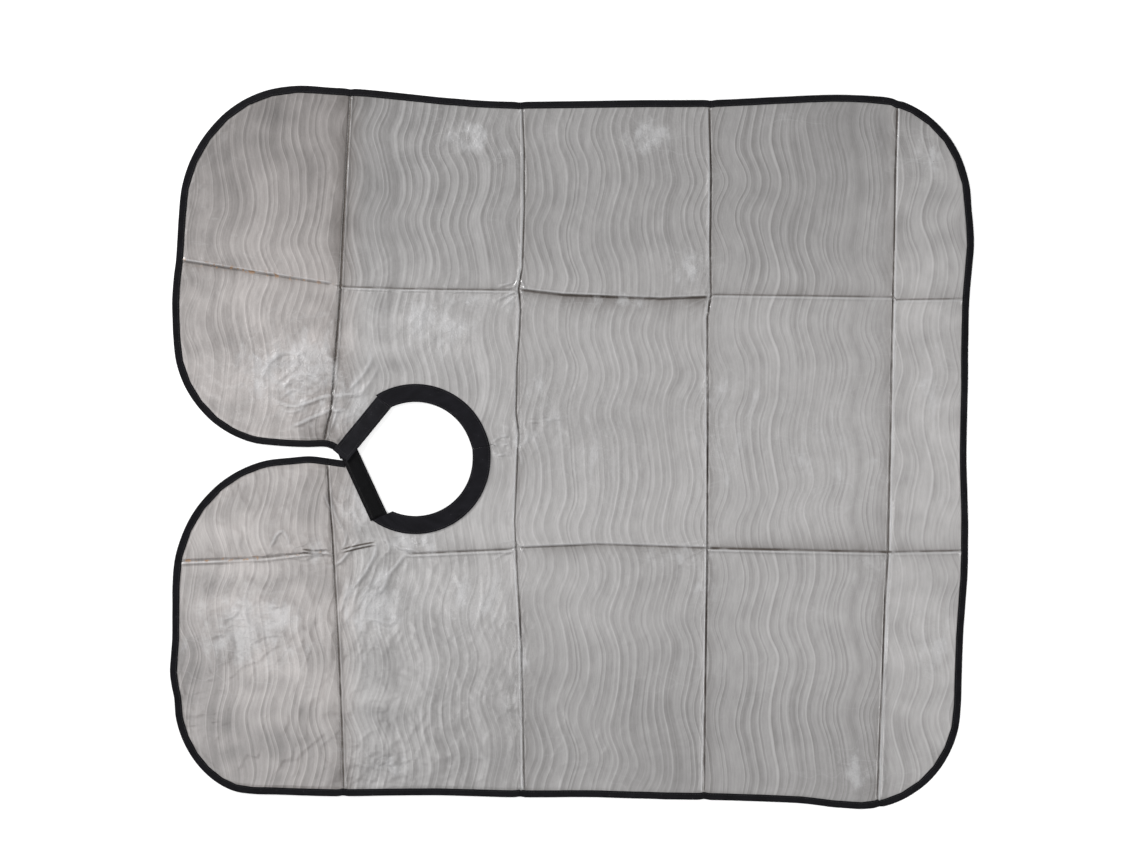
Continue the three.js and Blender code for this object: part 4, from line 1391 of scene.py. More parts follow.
@dataclass
class ClothPanel:
    """One panel of the cloth between creases, as a thin closed sheet."""

    body: str
    spacing: float
    fine: float = 1.0 * MM
    fine_reach: float = 9 * MM
    thickness: float = 0.35 * MM

    @property
    def node(self) -> str:
        """The CAD node that this panel stands for."""
        return f"cloth_{self.body}"

    def spread(self, start: float, end: float, marks: Sequence[float]) -> Array:
        """Grid places from start to end, closer together near the marks."""
        at, out = start, [start]
        while at < end:
            near = min(abs(at - m) for m in marks)
            share = float(smoothstep(self.fine_reach * 0.6, self.fine_reach * 1.6, np.array(near)))
            at += self.fine + (self.spacing - self.fine) * share
            out.append(at)
        return np.array(out)

    def lines(self) -> tuple[Line, Line, float]:
        """The panel's left and right guide lines, and the width between them."""
        reach = HALF_WIDTH * 0.5
        if self.body.startswith("flap"):
            fold = FOLDS[self.body]
            return (lambda y: fold.x_at(y) - reach), fold.x_at, reach
        if self.body == "panel_end":
            return END.x_at, (lambda y: END.x_at(y) + reach), reach
        if self.body == "collar":
            width = float(MIDDLE.pivot[0] - FLAP_UPPER.x_at(0.0))
            return (lambda y: np.where(y > SLIT_Y, FLAP_UPPER.x_at(y), FLAP_LOWER.x_at(y))), MIDDLE.x_at, width
        left, right = (MIDDLE, RIGHT) if self.body == "panel_middle" else (RIGHT, END)
        return left.x_at, right.x_at, float(right.pivot[0] - left.pivot[0])

    @staticmethod
    def row_y(row: Array, x: Array) -> Array:
        """Where a grid row runs: level rows bend to follow the two level creases."""
        upper, lower = level_y(LEVEL_UPPER, x), level_y(LEVEL_LOWER, x)
        above = upper + (row - ROW_UPPER) * (HALF_LENGTH - upper) / (HALF_LENGTH - ROW_UPPER)
        below = lower - (ROW_LOWER - row) * (HALF_LENGTH + lower) / (HALF_LENGTH + ROW_LOWER)
        between = lower + (row - ROW_LOWER) * (upper - lower) / (ROW_UPPER - ROW_LOWER)
        return np.where(row > ROW_UPPER, above, np.where(row < ROW_LOWER, below, between))

    def boundary(self, rows: Array) -> Array:
        """The panel's outline, with closely set points that neighbouring panels share."""
        loop = face_loop(self.node)
        folds = [fold for fold in FOLDS.values() if self.body in (fold.parent, fold.child)]
        owner = np.full(len(loop), -1)
        for k, fold in enumerate(folds):
            on = np.abs(fold.off(loop)) < 0.22 * MM
            on &= (fold is not FLAP_UPPER) | (loop[:, 1] > SLIT_Y)
            on &= (fold is not FLAP_LOWER) | (loop[:, 1] < SLIT_Y)
            owner[on] = k
            loop[on, 0] = fold.x_at(loop[on, 1])
        points = []
        for a, b, own, next_own in zip(loop, np.roll(loop, -1, axis=0), owner, np.roll(owner, -1)):
            points.append(a)
            if own >= 0 and own == next_own:
                y = self.row_y(rows, folds[own].x_at(rows))
                y = y[(y > min(a[1], b[1]) + 0.4 * MM) & (y < max(a[1], b[1]) - 0.4 * MM)]
                y = y if b[1] > a[1] else y[::-1]
                points.extend(np.column_stack([folds[own].x_at(y), y]))
            else:
                parts = max(1, math.ceil(np.linalg.norm(b - a) / self.spacing))
                points.extend(a + (b - a) * i / parts for i in range(1, parts))
        return np.array(points)

    def grid(self, rows: Array, outline: Array) -> tuple[Array, Array]:
        """Points and four-sided faces of the grid cells well inside the outline."""
        left, right, width = self.lines()
        marks = [0.0] * (not self.body.startswith("flap")) + [width] * (self.body != "panel_end")
        columns = self.spread(0.0, width, marks) / width
        s, r = np.meshgrid(columns / columns[-1], rows)
        y = self.row_y(r, left(r) + s * (right(r) - left(r)))
        x = left(y) + s * (right(y) - left(y))
        keep = inside(x.ravel(), y.ravel(), outline, np.roll(outline, -1, axis=0)).reshape(x.shape)
        near = off_path(x[keep], y[keep], outline, closed=True)
        keep[keep] = near > 0.8 * min(self.spacing * 0.45, near.max())
        cells = keep[:-1, :-1] & keep[1:, :-1] & keep[:-1, 1:] & keep[1:, 1:]
        used = np.zeros_like(keep)
        for part in (used[:-1, :-1], used[1:, :-1], used[:-1, 1:], used[1:, 1:]):
            part |= cells
        number = np.full(x.shape, -1)
        number[used] = np.arange(used.sum())
        i, j = np.nonzero(cells)
        quads = np.column_stack([number[i, j], number[i, j + 1], number[i + 1, j + 1], number[i + 1, j]])
        return np.column_stack([x[used], y[used]]), quads

    def flat_mesh(self) -> tuple[Array, Faces, Array]:
        """Points, faces and boundary point numbers of the panel laid flat."""
        rows = self.spread(-HALF_LENGTH, HALF_LENGTH, [ROW_UPPER, ROW_LOWER])
        outline = self.boundary(rows)
        points, quads = self.grid(rows, outline)
        edges = open_edges(quads.tolist())

        # triangles fill the strip between the grid's rim and the outline
        rim = sorted({v for pair in edges for v in pair})
        local = {v: k for k, v in enumerate(rim)}
        count = len(rim)
        around = np.arange(len(outline))
        strip_edges = [(local[a], local[b]) for a, b in edges]
        strip_edges += list(zip(count + around, count + np.roll(around, -1)))
        strip = [Vector(p) for p in np.vstack([points[rim], outline])]
        made = delaunay_2d_cdt(strip, strip_edges, [], 1, 1e-7)
        names, extra = [], []
        for place, sources in zip(made[0], made[3]):
            if sources:
                first = sources[0]
                names.append(rim[first] if first < count else len(points) + first - count)
            else:
                names.append(len(points) + len(outline) + len(extra))
                extra.append(tuple(place))
        triangles = np.array([[names[v] for v in f] for f in made[2]])
        every = np.vstack([points, outline, *([np.array(extra)] if extra else [])])
        x, y = every[triangles].mean(axis=1).T
        starts, stops = np.array(edges).T
        wanted = inside(x, y, outline, np.roll(outline, -1, axis=0)) & ~inside(x, y, points[starts], points[stops])
        return every, quads.tolist() + triangles[wanted].tolist(), len(points) + around

    def make(self, wardrobe: Wardrobe) -> None:
        """Builds the panel as a sheet with two faces and a rim."""
        flat, faces, rim = self.flat_mesh()
        look = DRAPE.at(flat[:, 0], flat[:, 1])
        top = np.column_stack([flat, look.pop("height")])
        n = len(top)
        show = []
        for face in faces:
            p, q = flat[face], np.roll(flat[face], -1, axis=0)
            signed = float((p[:, 0] * q[:, 1] - q[:, 0] * p[:, 1]).sum() / 2)
            show.append(face if signed > 0 else face[::-1])
        under = [[v + n for v in face[::-1]] for face in show]
        under += [[a, a + n, b + n, b] for a, b in zip(rim, np.roll(rim, -1))]
        data = {"rest_place": np.tile(np.column_stack([flat, np.zeros(n)]), (2, 1))}
        piece = make_piece(
            f"cape_{self.body}", np.vstack([top, top - [0, 0, self.thickness]]), show + under,
            [wardrobe.coated, wardrobe.woven], {**data, **{key: np.tile(look[key], 2) for key in look}},
            [Side.SHOW.value] * len(show) + [Side.UNDER.value] * len(under),
        )
        dress(piece, self.node, self.body)


# ---------------------------------------------------------------- edge binding


@dataclass
class EdgeBinding:
    """The folded tape round the cape's edge, and the stitches through it."""

    top: float = 2.32 * MM
    bottom: float = 0.08 * MM
    leg: float = 0.38 * MM
    pucker: float = 0.10 * MM
    notch: float = 1.1 * MM
    notch_width: float = 5 * MM
    stitch_inset: float = 1.95 * MM

    def section(self, width: float) -> Array:
        """The folded tape's closed section: distance in from the edge, and height."""
        top, low, leg, w = (size / MM for size in (self.top, self.bottom, self.leg, width))
        middle = (top + low) / 2
        return MM * np.array([
            (w - 0.3, low), (w * 0.5, low), (1.0, low), (0.3, low + 0.35), (0.0, middle - 0.3),
            (0.0, middle + 0.3), (0.25, top - 0.4), (0.85, top - 0.08), (1.9, top), (w * 0.4, top - 0.04),
            (w * 0.62, top - 0.05), (w - 2.3, top - 0.11), (w - 1.6, top - 0.11), (w - 0.7, top - 0.01),
            (w - 0.1, top - 0.14), (w, top - 0.36), (w - 0.35, top - leg - 0.12), (1.1, top - leg),
            (0.8, middle), (1.1, low + leg), (w - 0.3, low + leg), (w, low + leg / 2),
        ])

    def frames(self, stretch: Stretch) -> tuple[Array, Array, Array]:
        """Distance along, the path with its notches, and the inward direction at each station."""
        run = lengths_along(stretch.points) + stretch.start
        direction = np.gradient(stretch.points, axis=0)
        direction /= np.linalg.norm(direction, axis=1)[:, None]
        inward = np.column_stack([direction[:, 1], -direction[:, 0]])
        dip = sum(self.notch * bell(run - cut, self.notch_width) for cut in EDGE.cuts[1:-1])
        wander = 0.35 * MM * ripple(run, 37 * MM, 5) + 0.05 * MM
        return run, stretch.points + inward * (dip + np.maximum(wander, 0))[:, None], inward

    def gathers(self, run: Array) -> Array:
        """How far the tape's top puckers up at each station."""
        return self.pucker * ripple(run, 6.5 * MM, 8) + 0.06 * MM * ripple(run, 24 * MM, 9)

    def pressed(self, stretch: Stretch, run: Array) -> Array:
        """How thick the tape is at each station: it is pressed thin where it goes under the tabs."""
        if not stretch.node.startswith("slit_end"):
            return np.ones_like(run)
        left = run - run[0] if stretch.node == "slit_end_upper" else run[-1] - run
        return 0.74 + 0.26 * smoothstep(5 * MM, 10 * MM, left)

    def make(self, stretch: Stretch, wardrobe: Wardrobe) -> None:
        """Builds one stretch of the binding."""
        run, path, inward = self.frames(stretch)
        sections = np.stack([self.section(width) for width in stretch.widths])
        around = sections.shape[1]
        on_top = smoothstep(0.55 * self.top, 0.9 * self.top, sections[:, :, 1])
        toward_inner = 0.4 + 0.6 * sections[:, :, 0] / stretch.widths[:, None]
        heights = sections[:, :, 1] + self.gathers(run)[:, None] * on_top * toward_inner
        heights *= self.pressed(stretch, run)[:, None]
        xy = path[:, None, :] + inward[:, None, :] * sections[:, :, :1]
        points = np.concatenate([xy, heights[:, :, None]], axis=2).reshape(-1, 3)
        unrolled = np.tile(np.arange(around) * 1.1 * MM, len(run))
        place = np.column_stack([np.repeat(run, around), unrolled, np.zeros(len(points))])
        faces = flipped(tube_rings(len(run), around))
        piece = make_piece(f"edge_{stretch.node}", points, faces, [wardrobe.binding], {"tape_place": place})
        dress(piece, f"binding_{stretch.node}", stretch.body)

    def sew(self, name: str, body: str, stretches: Sequence[Stretch], wardrobe: Wardrobe) -> None:
        """Sews one body's stretches, above and below, as one piece."""
        threads = Builder()
        for stretch in stretches:
            run, path, inward = self.frames(stretch)
            line = path + inward * (stretch.widths - self.stitch_inset)[:, None]
            height = (self.top - 0.08 * MM + self.gathers(run)) * self.pressed(stretch, run)
            threads.sew(line, height, Stitch())
            threads.sew(line, self.bottom + 0.04 * MM, Stitch(flat=0.4), -1.0)
        dress(threads.piece(f"thread_{name}", wardrobe.thread), f"stitching_{name}", body)

    def make_all(self, wardrobe: Wardrobe) -> None:
        """Builds every stretch and its stitches."""
        for stretch in EDGE.stretches:
            self.make(stretch, wardrobe)
        first, *middle, last = EDGE.stretches
        joined = {"collar_top": [first], "collar_bottom": [last]}
        for stretch in middle:
            self.sew(stretch.node, stretch.body, [stretch, *joined.get(stretch.node, [])], wardrobe)


# ---------------------------------------------------------------- neckband


class Half(Enum):
    """The two halves of the neckband: name, the sense it turns from the seam, and its tab."""

    UPPER = ("upper", 1, HOOK_TAB)
    LOWER = ("lower", -1, LOOP_TAB)


@dataclass
class Neckband:
    """Two curved halves of folded twill tape that meet at a seam."""

    stations: int = 130
    face_top: float = 2.86 * MM
    face_leg: float = 0.62 * MM
    cloth_top: float = 1.86 * MM
    backing_low: float = 0.24 * MM
    backing_high: float = 0.6 * MM
    hem: float = 1.1 * MM
    peak: float = 0.9 * MM
    stitch_inset: float = 2.35 * MM
    tail: float = 9 * MM

    @property
    def width(self) -> float:
        """From the band's inner to its outer edge."""
        return RING.outer - RING.inner

    def end_turn(self, half: Half, radius: Array) -> Array:
        """The angle at which each round of a half meets its tab's root."""
        tab = half.value[2]
        to_root = tab.root - RING.centre
        base = to_root @ tab.along
        sideways = np.sqrt(np.maximum(radius**2 - base**2, 0)) * np.sign(to_root @ tab.across)
        x, y = (tab.along[k] * base + tab.across[k] * sideways for k in (0, 1))
        return np.arctan2(y, x)

    def rounds(self, radius: Array, turn: Array) -> tuple[Array, Array]:
        """Distance from the seam, and the places (x, y), on rounds that swell a little at the seam."""
        arc = np.abs(turn - SEAM_TURN) * radius
        return arc, RING.at(radius + self.peak * np.exp(-arc / (9 * MM)), turn)

    def sweep(self, half: Half, section: Array, gather: float) -> tuple[Array, Array, Faces]:
        """Sweeps a closed section (distance from the inner edge, height) round one half."""
        _, sense, _ = half.value
        share = np.linspace(0, 1, self.stations)[:, None]
        radius = RING.inner + section[:, 0]
        start = SEAM_TURN + sense * math.radians(0.06)
        arc, xy = self.rounds(radius, start + share * (self.end_turn(half, radius) - start))
        inner_share = 1 - section[:, 0] / self.width
        rippled = ripple(arc * RING.inner / radius, 5.5 * MM, 12 + sense) * inner_share**2
        high = smoothstep(self.cloth_top * 0.8, self.face_top, section[:, 1])
        low_wave = 0.10 * MM * lattice(xy[..., 0], xy[..., 1], 26 * MM, 14)
        z = section[:, 1] + (gather * rippled + low_wave - 0.35 * MM * np.exp(-arc / (1.2 * MM))) * high
        unrolled = np.broadcast_to(lengths_along(section), arc.shape)
        place = np.stack([arc, unrolled, np.zeros_like(arc)], axis=2).reshape(-1, 3)
        faces = tube_rings(self.stations, len(section))
        points = np.concatenate([xy, z[..., None]], axis=2).reshape(-1, 3)
        return points, place, faces if sense < 0 else flipped(faces)

    def face_section(self) -> Array:
        """The face strip with its inner edge turned down over the cloth."""
        sizes = self.face_top, self.face_leg, self.cloth_top, self.backing_high, self.hem, self.width
        top, leg, lid, back, hem, w = (size / MM for size in sizes)
        return MM * np.array([
            (w, lid), (w + 0.02, lid + 0.45), (w - 0.35, top - 0.14), (w - 0.9, top - 0.03),
            (w - 1.9, top - 0.09), (w - 2.4, top - 0.14), (w - 2.9, top - 0.08), (w * 0.78, top),
            (w * 0.64, top + 0.02), (w * 0.5, top + 0.02), (w * 0.36, top + 0.02), (w * 0.22, top),
            (2.9, top - 0.08), (2.4, top - 0.14), (1.9, top - 0.08), (0.9, top - 0.02), (0.3, top - 0.18),
            (0.0, top - 0.6), (0.0, back + 0.5), (0.25, back + 0.1), (0.8, back + 0.1), (hem, back + 0.4),
            (hem, lid), (w * 0.5, top - leg - 0.2),
        ])

    def backing_section(self) -> Array:
        """The flat strip under the cloth."""
        low, high, w = self.backing_low / MM, self.backing_high / MM - 0.04, self.width / MM
        middle = (low + high) / 2
        return MM * np.array([
            (0.5, low), (0.05, middle), (0.5, high), (w * 0.33, high), (w * 0.66, high), (w - 0.5, high),
            (w - 0.05, middle), (w - 0.5, low), (w * 0.66, low), (w * 0.33, low),
        ])

    def make_half(self, half: Half, wardrobe: Wardrobe) -> None:
        """Builds one half: face, backing and two rows of stitches."""
        name, sense, _ = half.value
        parts = ("face", self.face_section(), 0.16 * MM), ("backing", self.backing_section(), 0.0)
        for part, section, gather in parts:
            points, place, faces = self.sweep(half, section, gather)
            piece = make_piece(f"band_{name}_{part}", points, faces, [wardrobe.band], {"tape_place": place})
            dress(piece, f"neckband_{name}_{part}")
        for row, inset in (("inner", self.stitch_inset), ("outer", self.width - self.stitch_inset)):
            radius = RING.inner + inset
            gap = sense * math.radians(0.5)
            turn = np.linspace(SEAM_TURN + gap, float(self.end_turn(half, radius)) - gap, 200)
            threads = Builder()
            threads.sew(self.rounds(radius, turn)[1], self.face_top - 0.10 * MM, Stitch())
            piece = threads.piece(f"thread_band_{name}_{row}", wardrobe.thread)
            dress(piece, f"stitching_neckband_{name}_{row}")

    def make_seam(self, wardrobe: Wardrobe) -> None:
        """Stitches across the seam, and the thread end left beside it."""
        threads = Builder()
        inset = self.stitch_inset + 1 * MM
        inner, outer = (RING.at(r, SEAM_TURN) for r in (RING.inner + inset, RING.outer - inset))
        path = inner + np.linspace(0, 1, 30)[:, None] * (outer - inner)
        threads.sew(path, self.face_top - 0.22 * MM, Stitch(2.2 * MM, 2.6 * MM))
        root = RING.at(RING.outer - 1.0 * MM, SEAM_TURN)
        out = (root - RING.centre) / np.linalg.norm(root - RING.centre)
        aside = np.array([-out[1], out[0]])
        share = np.linspace(0, 1, 16)
        line = root + np.outer(share * self.tail, out) + np.outer(1.5 * MM * np.sin(3.6 * share), aside)
        tall = self.face_top + 0.15 * MM + 0.9 * MM * np.sin(math.pi * share) * (1 - share)
        turn = np.arange(6) * math.pi / 3
        rings = []
        for xy, z, r in zip(line, tall, 0.24 * MM * (1 - 0.4 * share**4)):
            rings.append(np.column_stack([xy + np.outer(r * np.cos(turn), aside), z + r * np.sin(turn)]))
        threads.add(np.vstack(rings), tube_rings(len(rings), 6))
        dress(threads.piece("thread_band_seam", wardrobe.thread), "stitching_neckband_seam")

    def make(self, wardrobe: Wardrobe) -> None:
        """Builds the whole band."""
        for half in Half:
            self.make_half(half, wardrobe)
        self.make_seam(wardrobe)


# ---------------------------------------------------------------- closure


TAB_STITCH = Stitch(2.6 * MM, 3.1 * MM, 0.3 * MM)


def tape_section(right: Sequence[float], dips: Sequence[float], leg: float, lift: float) -> tuple[Array, Array]:
    """A flat tape's closed section, over its top and back below.

    Args:
        right: Places across the right half of its top.
        dips: How deep its top lies at each of them, in mm.
        leg: Its thickness.
        lift: How far its two lower corners are rounded up.

    Returns:
        Distances across it, and depths below its highest place.
    """
    dips = np.array(dips) * MM
    across = np.concatenate([-np.array(right)[::-1], right])
    drop = np.concatenate([dips[::-1], dips, np.full(len(across), leg)])
    drop[[len(across), -1]] -= lift
    return np.concatenate([across, across[::-1]]), drop


@dataclass
class HookTab:
    """The upper tab: woven tape, smooth side up, with hooks under it."""

    step: float = 1.2 * MM
    leg: float = 0.62 * MM
    selvedge: float = 3.7 * MM
    end_strip: float = 6.5 * MM
    hook_start: float = 9.5 * MM
    hook_pitch: float = 1.7 * MM
    hook_height: float = 0.72 * MM
    hook_radius: float = 0.12 * MM
    bend: float = 10 * MM
    # a hook's shape: share of the height down, and share of the reach out
    hook = ((0.0, 0.0), (0.45, 0.02), (0.8, 0.14), (1.0, 0.42), (0.82, 0.66), (0.62, 0.66))

    @property
    def line(self) -> float:
        """From the middle to the row of stitches at each selvedge."""
        return HOOK_TAB.width / 2 - self.selvedge

    def heights(self, forward: Array) -> Array:
        """The tape's top at each distance along it, from the solid's own side view."""
        co = np.array([v.co for v in frame["nodes"]["hook_tape"].data.vertices])
        keys = np.round((co[:, :2] - HOOK_TAB.root) @ HOOK_TAB.along, 5)
        places = np.unique(keys)
        tops = np.array([co[keys == k, 2].max() for k in places])
        near = np.stack([np.interp(forward + d * 4 * MM, places, tops) for d in np.linspace(-1, 1, 9)])
        return near.mean(0) - 0.06 * MM

    def make_tape(self, wardrobe: Wardrobe) -> bpy.types.Object:
        """The woven tape, with a shallow line at each selvedge."""
        half, line, last = HOOK_TAB.width / 2, self.line, HOOK_TAB.length - self.end_strip
        forward = np.linspace(0.05 * MM, HOOK_TAB.length - 0.05 * MM, int(HOOK_TAB.length / self.step))
        side, drop = tape_section(
            (line * 0.2, line * 0.6, line - 0.8 * MM, line, line + 0.8 * MM, half - 1.2 * MM, half - 0.25 * MM, half),
            (0, 0, 0, 0.14, 0, 0.03, 0.06, 0.3), self.leg, 0.25 * MM,
        )
        tops = self.heights(forward) - 0.08 * MM * smoothstep(last - 0.5 * MM, last + 0.5 * MM, forward)

        def surface(f: float, k: int) -> Array:
            """The section's heights at one station."""
            return tops[k] - drop + 0.07 * MM * lattice(np.full(len(side), f), side, 9 * MM, 77)

        fray = 0.12 * MM * ripple(forward, 2.2 * MM, 78)
        points, place, faces = HOOK_TAB.sweep(forward, side, surface, 1 + fray / half)
        return make_piece("tab_hook_tape", points, faces, [wardrobe.hook_back], {"tape_place": place})

    def make_hooks(self, wardrobe: Wardrobe) -> bpy.types.Object:
        """Rows of small bent hooks under the tape."""
        hooks = Builder()
        half = self.line
        rows = int((HOOK_TAB.length - self.end_strip - self.hook_start) / self.hook_pitch)
        columns = int(2 * half / self.hook_pitch)
        rng = np.random.default_rng(5)
        turn = np.arange(4) * math.pi / 2 + 0.785
        c, s = self.hook_radius * np.cos(turn), 0.6 * self.hook_radius * np.sin(turn)
        ring = np.outer(c, HOOK_TAB.across) + np.outer(s, HOOK_TAB.along)
        faces = tube_rings(len(self.hook), len(turn))
        for i in range(rows):
            forward = self.hook_start + (i + 0.5) * self.hook_pitch
            top = float(self.heights(np.array([forward]))[0]) - self.leg + 0.05 * MM
            lean = 0.7 * MM if (i // 2) % 2 else -0.7 * MM
            for j in range(columns):
                side = -half + (j + 0.5 + (0.5 if i % 2 else 0.0)) * 2 * half / columns
                if abs(side) > half:
                    continue
                at, aside = forward + rng.uniform(-0.15, 0.15) * MM, side + rng.uniform(-0.15, 0.15) * MM
                hooks.add(np.vstack([
                    np.column_stack([
                        HOOK_TAB.place(at + lean * out, aside) + ring,
                        top - down * self.hook_height + s * (down > 0.9),
                    ])
                    for down, out in self.hook
                ]), faces)
        return hooks.piece("tab_hooks", wardrobe.hooks)

    def make_stitches(self, wardrobe: Wardrobe) -> bpy.types.Object:
        """The rows along both selvedges, across the end and across the root."""
        threads = Builder()
        root, line = 2.5 * MM, self.line
        forward = np.linspace(root, HOOK_TAB.length - 1.8 * MM, 90)
        for side in (-line, line):
            threads.sew(HOOK_TAB.place(forward, side), self.heights(forward) - 0.10 * MM, TAB_STITCH)
        across = np.linspace(-line, line, 30)
        for at in (root, HOOK_TAB.length - self.end_strip):
            height = self.heights(np.full(30, at)) - 0.04 * MM
            threads.sew(HOOK_TAB.place(at, across), height, TAB_STITCH)
        return threads.piece("thread_hook_tab", wardrobe.thread)

    def make(self, wardrobe: Wardrobe) -> None:
        """Builds the tab, hides the frame's hook tape and hook field, and bakes the pieces' placements."""
        tape, hooks, threads = (
            make(wardrobe) for make in (self.make_tape, self.make_hooks, self.make_stitches)
        )
        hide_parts("hook_tape")
        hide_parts("hook_field")
        for piece, slot in ((tape, "hook_tape"), (hooks, "hook_tape"), (threads, "thread")):
            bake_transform(piece)
            LOG.info("%s", piece.name)


@dataclass
class LoopTab:
    """The lower tab: woven tape with a raised fuzzy pile between its selvedges."""

    selvedge: float = 3.8 * MM
    end_margin: float = 3 * MM
    tuft_pitch: float = 1.15 * MM
    tuft_radius: float = 0.12 * MM
    pile_low: float = 2.34 * MM
    pile_high: float = 3.72 * MM
    top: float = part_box("loop_tape")[1].z

    def make_base(self, wardrobe: Wardrobe) -> None:
        """The woven base."""
        half = LOOP_TAB.width / 2
        line = half - self.selvedge
        side, drop = tape_section(
            (line * 0.4, line, half - 1.5 * MM, half - 0.3 * MM, half), (0, 0, 0, 0.06, 0.25), 0.5 * MM, 0.0
        )

        def surface(f: float, _: int) -> Array:
            """The section's heights at one station."""
            wave = 0.05 * MM * lattice(np.full(len(side), f), side, 8 * MM, 91)
            return self.top - drop + wave * (drop < 0.2 * MM)

        forward = np.linspace(0, LOOP_TAB.length, 90)
        points, place, faces = LOOP_TAB.sweep(forward, side, surface, np.ones(90))
        piece = make_piece("tab_loop_tape", points, faces, [wardrobe.loop_base], {"tape_place": place})
        dress(piece, "loop_tape")

    def make_pile(self, wardrobe: Wardrobe) -> None:
        """A mat of tangled loops, as many small bent threads over a soft pad."""
        tufts = Builder()
        half = LOOP_TAB.width / 2 - self.selvedge
        start, finish = self.end_margin, LOOP_TAB.length - self.end_margin
        low, deep = self.pile_low, self.pile_high - self.pile_low
        across = np.linspace(-half, half, 12)

        def pad(f: float, _: int) -> Array:
            """The pad's heights at one station."""
            top = low + 0.62 * deep * (1 - (np.abs(across) / half) ** 6 * 0.8)
            top = top + 0.14 * MM * lattice(np.full(12, f), across, 2.3 * MM, 92)
            return np.concatenate([top, np.full(12, low)])

        both = np.concatenate([across, across[::-1]])
        points, _, faces = LOOP_TAB.sweep(np.linspace(start, finish, 60), both, pad, np.ones(60))
        tufts.add(points, faces)

        rng = np.random.default_rng(9)
        turn = np.arange(4) * math.pi / 2
        ring = self.tuft_radius * np.column_stack([np.cos(turn), np.sin(turn)])
        arch = math.pi * np.arange(6) / 5
        faces = tube_rings(len(arch), len(turn))
        edge = half + 0.5 * MM
        for i in range(int((finish - start) / self.tuft_pitch)):
            for j in range(int(2 * half / self.tuft_pitch)):
                f = start + (i + rng.uniform(0.1, 0.9)) * self.tuft_pitch
                s = -half + (j + rng.uniform(0.1, 0.9)) * self.tuft_pitch
                heading = rng.uniform(0, 2 * math.pi)
                reach = np.cos(arch) * rng.uniform(0.9, 1.7) * MM / 2
                tall = rng.uniform(0.55, 1.0) * deep
                aside = np.clip(s - reach * math.sin(heading), -edge, edge)
                xy = LOOP_TAB.place(f - reach * math.cos(heading), aside)[:, None, :] + ring
                z = (low + 0.2 * MM + np.sin(arch) * (tall - 0.3 * MM))[:, None] + 0.05 * MM * np.sin(2 * turn)
                tufts.add(np.column_stack([xy.reshape(-1, 2), z.ravel()]), faces)
        dress(tufts.piece("tab_loop_pile", wardrobe.pile), "loop_pile")

    def make_stitches(self, wardrobe: Wardrobe) -> None:
        """A row inside each selvedge."""
        forward = np.linspace(self.end_margin, LOOP_TAB.length - self.end_margin, 80)
        for row, sign in (("inner", -1), ("outer", 1)):
            threads = Builder()
            path = LOOP_TAB.place(forward, sign * (LOOP_TAB.width / 2 - 2.35 * MM))
            threads.sew(path, self.top - 0.02 * MM, TAB_STITCH)
            piece = threads.piece(f"thread_loop_tape_{row}", wardrobe.thread)
            dress(piece, f"stitching_loop_tape_{row}")

    def make(self, wardrobe: Wardrobe) -> None:
        """Builds the tab."""
        self.make_base(wardrobe)
        self.make_pile(wardrobe)
        self.make_stitches(wardrobe)


# ---------------------------------------------------------------- studio


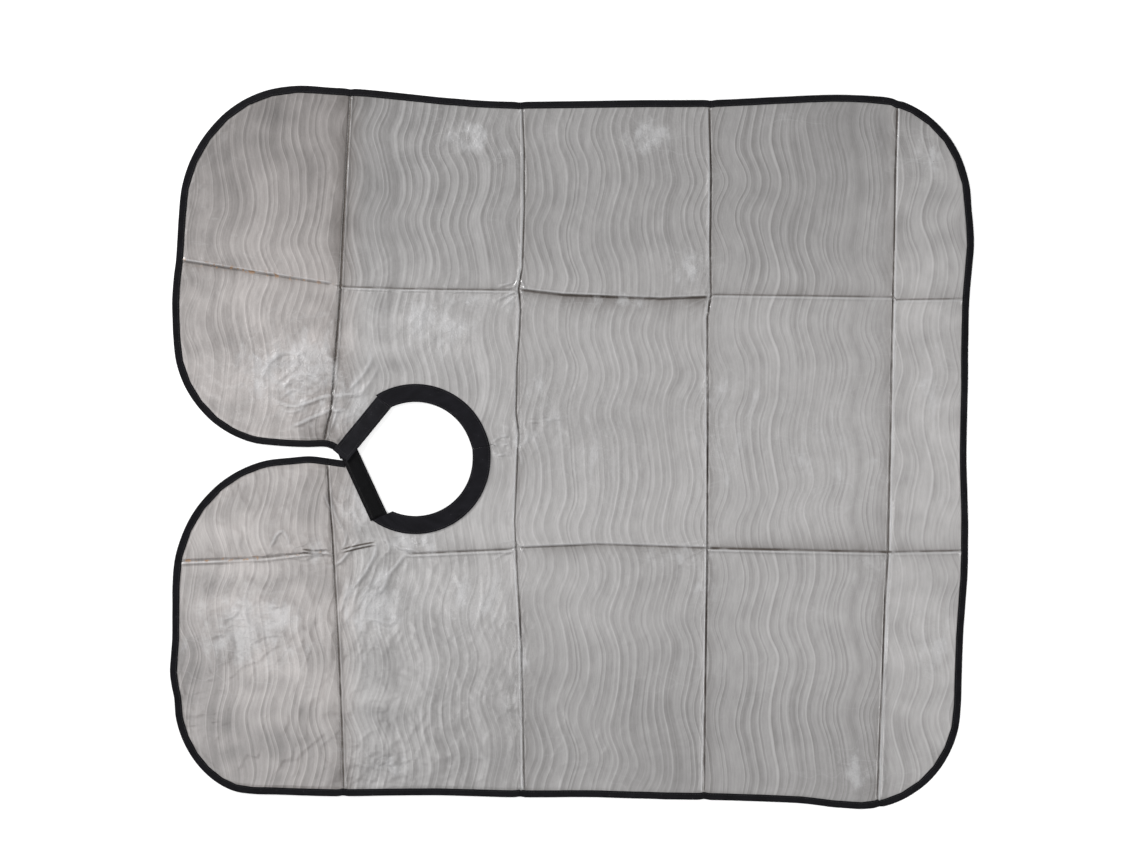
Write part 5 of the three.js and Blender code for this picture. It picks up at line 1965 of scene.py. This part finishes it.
@dataclass
class Studio:
    """Camera, floor and soft light."""

    lens: float = 85.0
    sensor: float = 36.0
    view_width: float = 1.579
    aim: tuple[float, float] = (-0.0028, 0.0277)
    floor_half: float = 4.0
    surround: float = 0.34
    # name, place, aim, size and power
    lights = (
        ("key", (-2.7, 1.6, 1.3), (0, 0, 0), 1.0, 112),
        ("sheen", (-0.95, -0.6, 2.6), (-0.2, -0.1, 0), 1.0, 14),
        ("fill", (2.7, -0.7, 1.6), (0, 0, 0), 1.6, 58),
    )

    def make_camera(self) -> None:
        """A camera straight above the cape."""
        data = bpy.data.cameras.new("camera")
        data.lens, data.sensor_width = self.lens, self.sensor
        camera = bpy.data.objects.new("camera", data)
        camera.location = (*self.aim, self.lens / self.sensor * self.view_width)
        bpy.context.scene.collection.objects.link(camera)
        bpy.context.scene.camera = camera

    def make_floor(self) -> None:
        """A plain white floor with a very fine grain."""
        g = Graph("studio_white")
        place = Value(g, g.node("ShaderNodeTexCoord").outputs["Object"])
        colour = g.mix(g.noise(place, 3.0), (0.93, 0.93, 0.93, 1.0), (0.95, 0.95, 0.95, 1.0))
        g.fixed(Specular_IOR_Level=0.0, Emission_Strength=0.3, Emission_Color=(1, 1, 1, 1))
        g.finish(colour, 0.9, g.noise(place, 40.0), 0.02 * MM)
        h, z = self.floor_half, -0.2 * MM
        corners = np.array([(-h, -h, z), (h, -h, z), (h, h, z), (-h, h, z)])
        make_piece("floor", corners, [[0, 1, 2, 3]], [g.material], {})

    def make_lights(self) -> None:
        """A pale surround and soft square lights from opposite sides."""
        world = bpy.data.worlds.new("surround")
        world.use_nodes = True
        inputs = world.node_tree.nodes["Background"].inputs
        inputs["Color"].default_value = (1, 1, 1, 1)
        inputs["Strength"].default_value = self.surround
        bpy.context.scene.world = world
        for name, place, aim, size, power in self.lights:
            data = bpy.data.lights.new(name, "AREA")
            data.size, data.energy = size, power
            light = bpy.data.objects.new(name, data)
            light.location = place
            light.rotation_mode = "QUATERNION"
            light.rotation_quaternion = (Vector(aim) - Vector(place)).to_track_quat("-Z", "Y")
            bpy.context.scene.collection.objects.link(light)


def main() -> None:
    """Builds everything in order."""
    logging.basicConfig(level=logging.INFO, format="%(message)s")
    studio = Studio()
    studio.make_camera()
    bpy.context.scene.view_settings.view_transform = "Standard"
    wardrobe = Wardrobe()
    for body in ("collar", *FOLDS):
        close = body in ("collar", "flap_upper", "flap_lower")
        ClothPanel(body, (2.4 if close else 2.8) * MM).make(wardrobe)
    EdgeBinding().make_all(wardrobe)
    Neckband().make(wardrobe)
    HookTab().make(wardrobe)
    LoopTab().make(wardrobe)
    studio.make_floor()
    studio.make_lights()


if __name__ == "__main__":
    main()
